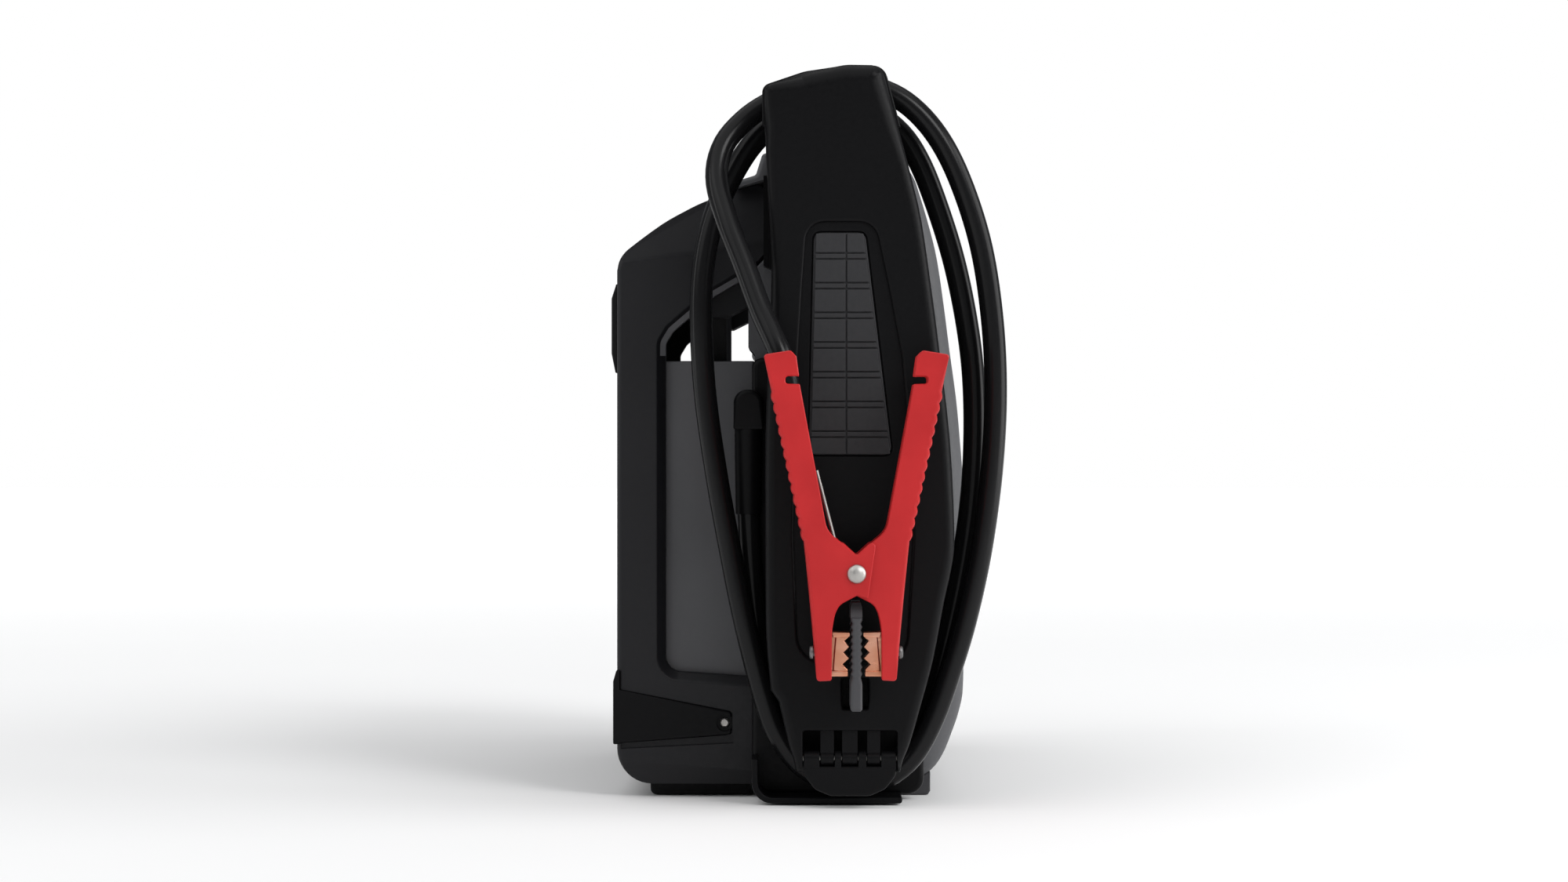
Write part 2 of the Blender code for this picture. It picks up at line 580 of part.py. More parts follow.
# ---------------------------------------------------------------- cable and spring
def smooth_path(points, count):
    """Evenly spaced points on a Catmull-Rom curve through the given ones."""
    pts = [Vector(p) for p in points]
    pts = [2 * pts[0] - pts[1]] + pts + [2 * pts[-1] - pts[-2]]
    fine = []
    for i in range(1, len(pts) - 2):
        p0, p1, p2, p3 = pts[i - 1:i + 3]
        for k in range(24):
            t = k / 24
            fine.append(0.5 * (2 * p1 + (p2 - p0) * t + (2 * p0 - 5 * p1 + 4 * p2 - p3) * t * t
                               + (3 * p1 - p0 - 3 * p2 + p3) * t ** 3))
    fine.append(pts[-2])
    lengths = [0.0]
    for one, two in zip(fine, fine[1:]):
        lengths.append(lengths[-1] + (two - one).length)
    out = []
    j = 0
    for k in range(count):
        want = lengths[-1] * k / (count - 1)
        while j < len(lengths) - 2 and lengths[j + 1] < want:
            j += 1
        step = lengths[j + 1] - lengths[j]
        out.append(fine[j].lerp(fine[j + 1], (want - lengths[j]) / step if step else 0.0))
    return out


def tube(name, points, radius, finish_name, resolution=2):
    curve = bpy.data.curves.new(name, "CURVE")
    curve.dimensions = "3D"
    curve.bevel_depth = radius * MM
    curve.bevel_resolution = resolution
    curve.use_fill_caps = True
    spline = curve.splines.new("POLY")
    spline.points.add(len(points) - 1)
    for point, place in zip(spline.points, points):
        point.co = (*(Vector(place) * MM), 1.0)
    obj = bpy.data.objects.new(name, curve)
    bpy.context.scene.collection.objects.link(obj)
    curve.materials.append(material(finish_name, *FINISHES[finish_name]))
    return obj


def cable_route():
    """(X, distance out from the near end face, Z): two turns round the holster, then the clamp."""
    a = TURN_OUT
    b = TURN_OUT + TURN_PITCH
    return [
        (GLAND_X, a, 188), (GLAND_X, a, 170), (-21.1, a, 150), (-19.8, a, 122), (-16.9, a, 92),
        (-11.8, a, 62), (-3.6, a, 37), (9.5, a, 19.5), (29, a, 12.2), (49, a, 16), (64.5, a, 30.5),
        (76, a, 57), (84.5, a, 90), (91.5, a, 124), (96.4, a, 158), (98.4, a, 192), (97.7, a, 225),
        (94.2, a, 254), (87.8, a, 285), (79.3, a, 313), (69.5, a, 338), (58.5, a, 354.5), (42, a, 366),
        (22, a, 369.5), (2, a, 364.5), (-16.5, a + 1, 351), (-29.8, a + 3, 331.5), (-39.3, a + 6, 309.5),
        (-44.6, a + 8, 286), (-46.3, a + 9, 258), (-44.2, a + 9, 217), (-38.4, a + 10, 175),
        (-31, a + 11, 134), (-22.6, a + 12.4, 93), (-11.8, b, 52), (-4.4, b, 34.5), (6.5, b, 20.5),
        (21, b, 12.2), (37.5, b, 10.6), (53, b, 15), (66, b, 26.5), (76.5, b, 46), (85, b, 70),
        (93.4, b, 98), (101.2, b, 134), (106.7, b, 175), (108.8, b, 215), (107.1, b, 254),
        (101.2, b, 293), (90.5, b, 327), (78.3, b, 351), (63.3, b, 367.5), (47, b, 376), (28, b, 379.2),
        (8, b, 376.3), (-8, b, 369.5), (-22.5, b + 1.5, 360), (-34.3, b + 7, 345.5),
        (-37.6, b + 15, 327.5), (-32, b + 25, 305), (-22.8, b + 34, 281), (-14, b + 43, 257),
        (-4.2, CLAMP_OUT, 234.5), (0.9, CLAMP_OUT, 213),
    ]


def make_cable():
    points = [(x, -(HALF_LENGTH + out), z) for x, out, z in cable_route()]
    tube("positive_cable", smooth_path(points, CABLE_POINTS), CABLE_D / 2, "black_rubber")


def make_crimp():
    """Crimped lug at the cable's end, inside the clamp's left handle."""
    outline = [arm_point(dx, dz) for dx, dz in
               ((-38.6, 88.4), (-30.2, 88.9), (-24.6, 64), (-26.8, 48), (-29.6, 48), (-33.6, 64))]
    y = -(HALF_LENGTH + CLAMP_OUT)
    finish(prism(outline, "Y", y - 4, y + 4), "cable_crimp", "copper")


def make_spring():
    """Torsion spring round the rivet, with a leg up each handle."""
    y = -(HALF_LENGTH + CLAMP_OUT)
    radius, pitch, turns, per_turn = 8.0, 2.6, 3, 12
    start = math.radians(160)
    sweep = turns * 2 * math.pi - math.radians(140)
    count = int(per_turn * sweep / (2 * math.pi))
    width = pitch * sweep / (2 * math.pi)
    coil = []
    for k in range(count + 1):
        angle = start + sweep * k / count
        coil.append((PIVOT[0] + radius * math.cos(angle), y - width / 2 + width * k / count,
                     PIVOT[1] + radius * math.sin(angle)))
    left = [(PIVOT[0] - 20.0, coil[0][1], PIVOT[1] + 51.5), (PIVOT[0] - 13.2, coil[0][1], PIVOT[1] + 21)]
    right = [(PIVOT[0] + 13.2, coil[-1][1], PIVOT[1] + 21), (PIVOT[0] + 20.0, coil[-1][1], PIVOT[1] + 51.5)]
    tube("clamp_spring", left + coil + right, 1.0, "steel", 1)


# ---------------------------------------------------------------- clamp
ARM = [(-47.3, 111.4), (-33.5, 113.6), (-30.6, 110.5), (-29.2, 100.4), (-36.2, 100.4), (-36.2, 96.6),
       (-28.9, 96.4), (-15, 21.8), (0, 9.5), (10.4, 19), (5.8, -12.9), (0, -11.2), (-4.1, -13.3),
       (-8.3, -15.8), (-10.6, -19.6), (-11.7, -23.8), (-12.5, -28.9), (-12.7, -54.2), (-20.3, -54.6),
       (-21.7, -37.3), (-26.9, 16.5), (-43.3, 92.5)]
INSIDE = [(-50, 125), (-20, 125), (-11, 60), (20, 40), (20, -30), (-8, -32), (-8, -70), (-17, -70),
          (-18.3, -54.6), (-19.7, -37.3), (-24.9, 16.2), (-41.3, 92.3), (-45, 108.5)]


def mirrored(points, side):
    return [arm_point(side * dx, dz) for dx, dz in points]


def clamp_span(half):
    y = -(HALF_LENGTH + CLAMP_OUT)
    return y - half, y + half


def make_arm(side, name, half):
    """Folded sheet channel: two cheeks and an outer web, open towards the other arm."""
    low, high = clamp_span(half)
    pivot = (PIVOT[0], (low + high) / 2, PIVOT[1])
    obj = finish(prism(mirrored(ARM, side), "Y", low, high), "clamp_arm_" + name, "red_plastic", pivot)
    cut(obj, prism(mirrored(INSIDE, side), "Y", low + SHEET, high - SHEET))
    cut(obj, turned([(low - 2, 3.3), (high + 2, 3.3)], "Y", (PIVOT[0], 0, PIVOT[1]), 12))
    x0, x1 = sorted((PIVOT[0] + side * -30, PIVOT[0] + side * -15))
    cut(obj, turned([(x0, 2.4), (x1, 2.4)], "X", bolt_centre(), 10))


def bolt_centre():
    return (0.0, -(HALF_LENGTH + CLAMP_OUT), PIVOT[1] - 40.5)


def make_jaw(side, name):
    """Copper jaw with a toothed edge towards the parking post."""
    outline = [(-17.2, -29.8), (-3.5, -30.4), (-3.5, -31.8), (-4.7, -34), (-3.4, -36.9), (-5.3, -39.9),
               (-3.4, -43.3), (-5.9, -46.2), (-4.5, -49.5), (-4.5, -52.4), (-16, -52.4)]
    y = -(HALF_LENGTH + CLAMP_OUT)
    pivot = (PIVOT[0], y, PIVOT[1])
    jaw = prism(mirrored(outline, side), "Y", y - JAW_HALF, y + JAW_HALF)
    obj = finish(jaw, "clamp_jaw_" + name, "copper", pivot)
    ends = sorted((PIVOT[0] + side * -19, PIVOT[0] + side * -10))
    cut(obj, turned([(ends[0], 2.4), (ends[1], 2.4)], "X", bolt_centre(), 10))
    marks = [(-24.0, 2.4), (-23.4, 3.4), (-22.0, 3.4), (-22.0, 2.0), (-10.4, 2.0)]
    profile = [(PIVOT[0] + side * dx, r) for dx, r in marks]
    finish(turned(profile, "X", bolt_centre(), 10), "jaw_bolt_" + name, "steel", pivot)


def make_rivet():
    low, high = clamp_span(CLAMP_HALF + GAP)
    profile = [(low - 2.4, 2.2), (low - 1.6, 4.2), (low, 4.8), (low, 3.0), (high, 3.0), (high, 4.8),
               (high + 1.6, 4.2), (high + 2.4, 2.2)]
    finish(turned(profile, "Y", (PIVOT[0], 0, PIVOT[1]), 12), "clamp_rivet", "steel")


def make_clamp():
    make_arm(1, "left", CLAMP_HALF)
    make_arm(-1, "right", CLAMP_HALF - SHEET - GAP)
    make_jaw(1, "left")
    make_jaw(-1, "right")
    make_rivet()
    make_spring()
    make_crimp()


# ---------------------------------------------------------------- assembly
def clear_scene():
    for obj in list(bpy.data.objects):
        bpy.data.objects.remove(obj)


def main():
    clear_scene()
    make_rear_shell()
    make_front_shell()
    make_handle()
    make_screws()
    for end, name in ((-1, "near"), (1, "far")):
        make_end_panel(end, name)
        make_foot("rear", end, name)
        make_foot("front", end, name)
        make_guard(end, name)
        make_rear_pad(end, name)
        make_holster(end, name)
        make_flap(end, name)
        make_grip_pad(end, name)
        make_post(end, name)
        make_gland(end, name)
    make_panel()
    make_controls()
    make_outlet()
    make_battery()
    make_electrics()
    make_clamp()
    make_cable()


main()
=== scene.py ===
"""Looks of the jump starter pack: detailed shells, holsters, clamp, cable and materials.

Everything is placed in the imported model's frame. Sizes are in millimetres until a mesh is written.
"""
import math

import bmesh
import bpy
from mathutils import Matrix, Vector


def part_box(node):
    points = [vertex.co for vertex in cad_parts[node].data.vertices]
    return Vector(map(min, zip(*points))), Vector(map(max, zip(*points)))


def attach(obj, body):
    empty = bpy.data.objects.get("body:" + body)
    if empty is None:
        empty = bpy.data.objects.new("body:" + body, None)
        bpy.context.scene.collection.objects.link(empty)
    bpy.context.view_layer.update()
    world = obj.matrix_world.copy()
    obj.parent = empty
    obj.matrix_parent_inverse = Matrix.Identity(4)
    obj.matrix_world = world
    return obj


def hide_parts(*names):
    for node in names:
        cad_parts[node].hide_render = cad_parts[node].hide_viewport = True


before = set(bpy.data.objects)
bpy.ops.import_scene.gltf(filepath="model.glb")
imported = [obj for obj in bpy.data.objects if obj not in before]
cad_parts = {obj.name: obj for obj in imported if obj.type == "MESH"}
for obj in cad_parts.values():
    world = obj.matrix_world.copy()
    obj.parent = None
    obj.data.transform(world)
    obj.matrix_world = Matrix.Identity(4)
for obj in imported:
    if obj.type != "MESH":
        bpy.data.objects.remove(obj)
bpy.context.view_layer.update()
MM = 0.001


def corners(node):
    """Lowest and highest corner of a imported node, in millimetres."""
    low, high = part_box(node)
    return Vector(round(v / MM, 2) for v in low), Vector(round(v / MM, 2) for v in high)


# ---- sizes taken from the frame
SHELL_LOW, SHELL_HIGH = corners("rear_shell")
FRONT_HIGH = corners("front_shell")[1]
PLATE_LOW, PLATE_HIGH = corners("holster_near")
RIVET_LOW, RIVET_HIGH = corners("clamp_rivet")
ARM_LOW, ARM_HIGH = corners("clamp_arm_left")
INNER_LOW, INNER_HIGH = corners("clamp_arm_right")
PIN_LOW, PIN_HIGH = corners("flap_pin_near")
POST_LOW, POST_HIGH = corners("clamp_post_near")

HALF_LENGTH = FRONT_HIGH.y
REAR_X = SHELL_LOW.x
FRONT_X = FRONT_HIGH.x
BODY_BOTTOM = SHELL_LOW.z
TOP_Z = FRONT_HIGH.z
GAP = 0.3
SEAM_REAR = -18.8           # rear shell's edge at the parting line
SEAM_FRONT = -18.2          # front shell's edge at the parting line
RIDGE_X = SHELL_HIGH.x
RIDGE_Z = SHELL_HIGH.z
DECK_Z = 234.0              # floor of the hand tunnel
WALL = 3.0
HAND_HALF = 78.0
GUARD_SCREW = (-34.2, 0, 40)

# distances out from the end face
PLATE_OUT = -PLATE_LOW.y - HALF_LENGTH
GROOVE_OUT = PLATE_OUT - 12.0
HOOD_OUT = PLATE_OUT - 18.0
TRAY_OUT = PLATE_OUT - 20.0
BASE_OUT = 12.0
BASE_BOTTOM = PLATE_LOW.z
POST_OUT = -POST_LOW.y - HALF_LENGTH
POST_X = (POST_LOW.x + POST_HIGH.x) / 2
POST_HALF = (POST_HIGH.x - POST_LOW.x) / 2

PIVOT = ((RIVET_LOW.x + RIVET_HIGH.x) / 2, (RIVET_LOW.z + RIVET_HIGH.z) / 2)
CLAMP_Y = (ARM_LOW.y + ARM_HIGH.y) / 2
CLAMP_OUT = -CLAMP_Y - HALF_LENGTH
CLAMP_HALF = (ARM_HIGH.y - ARM_LOW.y) / 2
INNER_HALF = (INNER_HIGH.y - INNER_LOW.y) / 2
SHEET = 2.0
JAW_BOLT = (0.0, CLAMP_Y, PIVOT[1] - 40.5)
JAW_BOLT_HOLE = 2.4

FLAP_OUT = -(PIN_LOW.y + PIN_HIGH.y) / 2 - HALF_LENGTH
FLAP_Z = (PIN_LOW.z + PIN_HIGH.z) / 2
FLAP_RECESS = (7.2, 56.2)
FLAP_FINGERS = ((7.6, 15.9), (23.8, 27.2), (36.1, 40.2), (47.9, 55.8))
PLATE_FINGERS = ((16.3, 23.4), (27.6, 35.7), (40.6, 47.5))
PIN_HOLE = 1.8
PAD_X = (10.3, 53.6, 39.6, 13.0)    # the insert's corners, from the lower left
PAD_Z = (183.7, 298.9)

CABLE_D = 12.0
TURN_OUT = 20.3
TURN_PITCH = 12.8
GLAND_X = -21.3             # the cable comes down out of the outlet here
LEAD_EXIT = (-24.8, 207.5)  # inner leads pass the end panels here
ENDS = {-1: "near", 1: "far"}


# ---- materials
def linked(name, data):
    obj = bpy.data.objects.new(name, data)
    bpy.context.scene.collection.objects.link(obj)
    return obj


def feed(tree, node, values):
    """Set a node's inputs, or link those that are given an output socket."""
    for key, value in values.items():
        if isinstance(value, bpy.types.NodeSocket):
            tree.links.new(value, node.inputs[key])
        else:
            node.inputs[key].default_value = value
    return node


def add_node(tree, kind, values, **settings):
    node = tree.nodes.new("ShaderNode" + kind)
    for key, value in settings.items():
        setattr(node, key, value)
    return feed(tree, node, values)


def new_material(name, colour, roughness, metallic=0.0):
    mat = bpy.data.materials.new(name)
    mat.use_nodes = True
    tree = mat.node_tree
    shader = feed(tree, tree.nodes["Principled BSDF"], {
        "Base Color": (*colour, 1.0), "Roughness": roughness, "Metallic": metallic})
    return mat, shader, tree


def noise(tree, scale, detail=3.0, stretch=(1, 1, 1)):
    """A noise texture in object space; scale is in features per metre."""
    place = add_node(tree, "TexCoord", {}).outputs["Object"]
    mapping = add_node(tree, "Mapping", {"Scale": stretch, "Vector": place})
    values = {"Scale": scale, "Detail": detail, "Vector": mapping.outputs["Vector"]}
    return add_node(tree, "TexNoise", values).outputs["Fac"]


def ranged(tree, value, low, high, start=0.3, end=0.7):
    values = {"From Min": start, "From Max": end, "To Min": low, "To Max": high, "Value": value}
    return add_node(tree, "MapRange", values).outputs["Result"]


def tinted(tree, factor, dark, light):
    """A colour between two, by a factor from 0 to 1."""
    values = {"A": (*dark, 1.0), "B": (*light, 1.0), "Factor": factor}
    return add_node(tree, "Mix", values, data_type="RGBA").outputs["Result"]


def bumped(tree, height, strength, distance):
    values = {"Strength": strength, "Distance": distance, "Height": height}
    return add_node(tree, "Bump", values).outputs["Normal"]


def added(tree, first, second, weight):
    values = {0: second, 1: weight, 2: first}
    return add_node(tree, "Math", values, operation="MULTIPLY_ADD").outputs["Value"]


def grained(name, colour, roughness, grain=1500.0, depth=0.00006, level=0.4, gloss=0.06):
    """Moulded plastic or rubber: spark-eroded grain, slow colour drift, uneven gloss."""
    mat, shader, tree = new_material(name, colour, roughness)
    drift = ranged(tree, noise(tree, 14.0, 2.0), 0, 1)
    dark, light = ([c * (1 + change) for c in colour] for change in (-0.06, 0.06))
    fine, coarse = noise(tree, grain, 4.0), noise(tree, grain * 0.35, 2.0)
    feed(tree, shader, {
        "Base Color": tinted(tree, drift, dark, light),
        "Roughness": ranged(tree, coarse, roughness - gloss, roughness + gloss),
        "Normal": bumped(tree, added(tree, fine, coarse, 0.6), 0.5, depth),
        "Specular IOR Level": level})
    return mat


def metal(name, colour, light, roughness, stretch):
    """Metal with drawn or worn streaks along the short axis of the stretch."""
    mat, shader, tree = new_material(name, colour, roughness, 1.0)
    streak, stain = noise(tree, 700.0, 5.0, stretch), noise(tree, 60.0)
    feed(tree, shader, {
        "Base Color": tinted(tree, ranged(tree, stain, 0, 1), colour, light),
        "Roughness": ranged(tree, streak, roughness - 0.1, roughness + 0.14),
        "Normal": bumped(tree, streak, 0.4, 0.00003)})
    return mat


def make_red():
    """Satin red coating with a slight orange peel."""
    mat, shader, tree = new_material("clamp_red", (0.52, 0.020, 0.024), 0.42)
    drift = ranged(tree, noise(tree, 35.0, 3.0), 0, 1)
    peel, fine = noise(tree, 420.0, 2.0), noise(tree, 1900.0, 3.0)
    feed(tree, shader, {
        "Base Color": tinted(tree, drift, (0.42, 0.009, 0.011), (0.50, 0.014, 0.016)),
        "Roughness": ranged(tree, fine, 0.36, 0.5),
        "Normal": bumped(tree, added(tree, peel, fine, 0.3), 0.4, 0.00008),
        "Specular IOR Level": 0.35})
    return mat


def make_lens():
    mat, shader, tree = new_material("smoky_lens", (0.03, 0.035, 0.04), 0.12)
    feed(tree, shader, {"Coat Weight": 0.6, "Coat Roughness": 0.05,
                        "Roughness": ranged(tree, noise(tree, 900.0), 0.08, 0.16)})
    return mat


def make_board():
    mat, shader, tree = new_material("solder_mask", (0.01, 0.1, 0.03), 0.35)
    traces = noise(tree, 260.0, 1.0, (1, 1, 4))
    share = ranged(tree, traces, 0, 1, 0.48, 0.52)
    feed(tree, shader, {
        "Base Color": tinted(tree, share, (0.008, 0.075, 0.022), (0.015, 0.14, 0.045)),
        "Normal": bumped(tree, traces, 0.3, 0.00005)})
    return mat


MATS = {
    "black": grained("shell_black", (0.0080, 0.0080, 0.0096), 0.42, level=0.26),
    "plate": grained("holster_black", (0.0035, 0.0035, 0.0040), 0.40, level=0.11),
    "grey": grained("shell_grey", (0.082, 0.083, 0.088), 0.50, level=0.3),
    "panel": grained("panel_grey", (0.088, 0.088, 0.093), 0.58, level=0.25),
    "rubber": grained("rubber_black", (0.007, 0.007, 0.0075), 0.7, grain=1100.0, level=0.2),
    "pad": grained("rubber_grey", (0.025, 0.025, 0.027), 0.7, grain=1000.0, level=0.25),
    "cable": grained("cable_jacket", (0.0062, 0.0062, 0.0067), 0.23, grain=900.0, depth=0.000004,
                     level=0.17, gloss=0.02),
    # lighter grey for the inner window bevels: a painted highlight, not the shell's own colour
    "rim": grained("window_rim_painted_highlight", (0.15, 0.15, 0.158), 0.36, level=0.5),
    "post": grained("post_grey", (0.052, 0.052, 0.056), 0.5, level=0.3),
    "red": make_red(),
    "copper": metal("jaw_copper", (0.62, 0.25, 0.14), (0.78, 0.42, 0.30), 0.34, (0.2, 1, 1)),
    "steel": metal("zinc_steel", (0.40, 0.39, 0.37), (0.52, 0.50, 0.48), 0.42, (1, 1, 0.2)),
    "bolt": metal("dark_bolt", (0.15, 0.15, 0.15), (0.22, 0.21, 0.21), 0.4, (1, 1, 0.2)),
    "lens": make_lens(),
    "board": make_board(),
    "case": grained("battery_case", (0.03, 0.03, 0.033), 0.45),
    "button": grained("button_red", (0.42, 0.02, 0.02), 0.45),
}


# ---- camera, light, floor
def make_camera():
    data = bpy.data.cameras.new("camera")
    data.lens = 80.0
    data.sensor_width = 36.0
    data.clip_end = 50.0
    camera = linked("camera", data)
    camera.location = (-0.0025, -2.006, 0.1908)
    camera.rotation_euler = (math.radians(90), 0, 0)
    bpy.context.scene.camera = camera


def make_world():
    """White to the camera, and a dim even light on the object."""
    world = bpy.data.worlds.new("studio")
    world.use_nodes = True
    bpy.context.scene.world = world
    tree = world.node_tree
    tree.nodes.clear()
    cast, seen = (add_node(tree, "Background", {"Color": colour, "Strength": strength})
                  for colour, strength in (((0.95, 0.97, 1, 1), 0.2), ((1, 1, 1, 1), 1.0)))
    path = add_node(tree, "LightPath", {})
    mix = add_node(tree, "MixShader", {
        "Fac": path.outputs["Is Camera Ray"], 1: cast.outputs[0], 2: seen.outputs[0]})
    add_node(tree, "OutputWorld", {"Surface": mix.outputs[0]})


def make_floor():
    """White floor that glows more and more away from the pack, so that it has no horizon."""
    mesh = bpy.data.meshes.new("floor")
    side = 12.0
    mesh.from_pydata([(-side, -side, 0), (side, -side, 0), (side, side, 0), (-side, side, 0)], [],
                     [(0, 1, 2, 3)])
    floor = linked("floor", mesh)
    floor.location.z = -0.0003
    mat, shader, tree = new_material("studio_floor", (0.88, 0.88, 0.88), 0.9)
    place = add_node(tree, "TexCoord", {}).outputs["Object"]
    reach = add_node(tree, "VectorMath", {0: place}, operation="LENGTH")
    feed(tree, shader, {
        "Specular IOR Level": 0.1, "Emission Color": (1, 1, 1, 1),
        "Emission Strength": ranged(tree, reach.outputs["Value"], 0.0, 0.3, 0.4, 3.2)})
    mesh.materials.append(mat)


def add_light(name, kind, energy, towards, place=(0, 0, 2)):
    """A light that shines in the direction towards."""
    data = bpy.data.lights.new(name, kind)
    data.energy = energy
    light = linked(name, data)
    light.location = place
    light.rotation_euler = Vector(towards).to_track_quat("-Z", "Y").to_euler()
    return data


def make_lights():
    bpy.context.scene.view_settings.view_transform = "Standard"
    for name, towards, strength, angle in (
            ("key", (-0.56, 0.66, -0.56), 1.15, 24), ("fill", (0.66, 0.58, -0.5), 0.4, 40),
            ("overhead", (0.1, 0.12, -1.0), 1.5, 90)):
        add_light(name, "SUN", strength, towards).angle = math.radians(angle)
    for name, place, target, size, energy in (
            ("side", (1.5, -0.35, 0.6), (0.08, -0.1, 0.2), (1.2, 1.2), 16),
            ("edge", (-1.6, -0.3, 0.7), (-0.05, -0.15, 0.2), (0.25, 1.2), 3)):
        data = add_light(name, "AREA", energy, Vector(target) - Vector(place), place)
        data.shape = "RECTANGLE"
        data.size, data.size_y = size


# ---- outlines
def rect(x0, z0, x1, z1):
    return [(x0, z0), (x1, z0), (x1, z1), (x0, z1)]


def face_rect(low, high, grow=0.0):
    """A node's box seen along X."""
    return rect(low.y - grow, low.z - grow, high.y + grow, high.z + grow)


def rounded(points, radius, steps=6):
    """The outline with each corner replaced by an arc; radius may be one number or one per corner."""
    radii = radius if isinstance(radius, (list, tuple)) else [radius] * len(points)
    out = []
    for i, corner in enumerate(points):
        here = Vector(corner)
        before = Vector(points[i - 1]) - here
        after = Vector(points[(i + 1) % len(points)]) - here
        if radii[i] <= 0:
            out.append(tuple(here))
            continue
        half = before.angle(after) / 2
        reach = min(radii[i] / math.tan(half), before.length * 0.48, after.length * 0.48)
        start = here + before.normalized() * reach
        end = here + after.normalized() * reach
        middle = (before.normalized() + after.normalized()).normalized()
        centre = here + middle * (reach / math.cos(half))
        first = start - centre
        turn = first.angle_signed(end - centre)
        for k in range(steps + 1):
            out.append(tuple(centre + Matrix.Rotation(-turn * k / steps, 2) @ first))
    return out


def catmull(p0, p1, p2, p3, t):
    return 0.5 * (2 * p1 + (p2 - p0) * t + (2 * p0 - 5 * p1 + 4 * p2 - p3) * t * t
                  + (3 * p1 - p0 - 3 * p2 + p3) * t ** 3)


def flowing(points, per=5):
    """An open outline stretch smoothed through its points."""
    pts = [Vector(p) for p in points]
    pts = [2 * pts[0] - pts[1]] + pts + [2 * pts[-1] - pts[-2]]
    out = []
    for i in range(1, len(pts) - 2):
        for k in range(per):
            out.append(tuple(catmull(*pts[i - 1:i + 3], k / per)))
    out.append(tuple(pts[-2]))
    return out


def spaced(points, count):
    """Evenly spaced points along a smooth curve through the given ones."""
    fine = [Vector(p) for p in flowing(points, 24)]
    lengths = [0.0]
    for one, two in zip(fine, fine[1:]):
        lengths.append(lengths[-1] + (two - one).length)
    out, j = [], 0
    for k in range(count):
        want = lengths[-1] * k / (count - 1)
        while j < len(lengths) - 2 and lengths[j + 1] < want:
            j += 1
        step = lengths[j + 1] - lengths[j]
        out.append(fine[j].lerp(fine[j + 1], (want - lengths[j]) / step if step else 0.0))
    return out


def outward(outline):
    """Outward direction at each outline point, with its mitre length."""
    pts = [Vector(p) for p in outline]
    area = sum(a.x * b.y - b.x * a.y for a, b in zip(pts, pts[1:] + pts[:1]))
    sign = 1 if area > 0 else -1
    out = []
    for i, here in enumerate(pts):
        before = (here - pts[i - 1]).normalized()
        after = (pts[(i + 1) % len(pts)] - here).normalized()
        normals = [Vector((d.y, -d.x)) * sign for d in (before, after)]
        both = normals[0] + normals[1]
        if both.length < 1e-6:
            both = normals[0]
        both.normalize()
        out.append(both / max(both.dot(normals[0]), 0.6))
    return out


def offset(outline, distance):
    """The outline moved outwards by a distance, or inwards if it is negative."""
    return [tuple(Vector(p) + n * distance) for p, n in zip(outline, outward(outline))]


# ---- solids
PLACE = {
    "X": lambda a, b, t: (t, a, b),
    "Y": lambda a, b, t: (a, t, b),
    "Z": lambda a, b, t: (a, b, t),
}


def stack(layers, axis):
    """A solid through layers of (position, outline) that all have the same number of points."""
    bm = bmesh.new()
    rings = [[bm.verts.new(PLACE[axis](a, b, t)) for a, b in outline] for t, outline in layers]
    count = len(rings[0])
    bm.faces.new(rings[0])
    bm.faces.new(rings[-1])
    for one, two in zip(rings, rings[1:]):
        for i in range(count):
            j = (i + 1) % count
            bm.faces.new((one[i], one[j], two[j], two[i]))
    bmesh.ops.recalc_face_normals(bm, faces=bm.faces)
    return bm


def prism(outline, axis, low, high):
    return stack([(low, outline), (high, outline)], axis)


def settled(outline, radii):
    """Edge radii, lowered where the outline is too tight to take them."""
    pts = [Vector(p) for p in outline]
    normals = outward(outline)
    count = len(pts)
    edges = [pts[(i + 1) % count] - pts[i] for i in range(count)]
    out = list(radii)
    for _ in range(60):
        inset = [p - n * r for p, n, r in zip(pts, normals, out)]
        tight = [i for i in range(count)
                 if (inset[(i + 1) % count] - inset[i]).dot(edges[i]) < 0.06 * edges[i].length_squared]
        if not tight:
            break
        for i in tight:
            out[i] *= 0.85
            out[(i + 1) % count] *= 0.85
        for i in list(range(count)) * 2:
            out[i] = min(out[i], out[i - 1] + 0.7 * edges[i - 1].length)
        for i in list(range(count))[::-1] * 2:
            out[i] = min(out[i], out[(i + 1) % count] + 0.7 * edges[i].length)
    return out


def soft_prism(outline, axis, low, high, low_radius=1.0, high_radius=1.0, steps=4, pinned=None):
    """An extrusion with rounded ends; a radius is one number or one per outline point.

    Points for which pinned(point) is true keep their first coordinate.
    """
    normals = outward(outline)

    def layer(depth, radii):
        ring = []
        for p, n, r in zip(outline, normals, radii):
            inset = r - math.sqrt(max(r * r - (r - depth) ** 2, 0.0)) if depth < r else 0.0
            x, y = Vector(p) - n * inset
            ring.append((p[0], y) if pinned and pinned(p) else (x, y))
        return ring

    def side(edge, inwards, radius):
        radii = radius if isinstance(radius, (list, tuple)) else [radius] * len(outline)
        if max(radii) <= 0:
            return [(edge, list(outline))]
        radii = settled(outline, radii)
        most = max(radii)
        depths = [most * (1 - math.cos(math.pi / 2 * k / steps)) for k in range(steps + 1)]
        return [(edge + inwards * d, layer(d, radii)) for d in depths]

    return stack(side(low, 1, low_radius) + side(high, -1, high_radius)[::-1], axis)


def block(low, high, radius):
    """A box between two corners with all its edges rounded."""
    outline = rounded(rect(low[0], low[2], high[0], high[2]), radius, 3)
    return soft_prism(outline, "Y", low[1], high[1], radius * 0.8, radius * 0.8, 3)


def hull(points):
    bm = bmesh.new()
    verts = [bm.verts.new(p) for p in points]
    bmesh.ops.convex_hull(bm, input=verts)
    bmesh.ops.recalc_face_normals(bm, faces=bm.faces)
    return bm


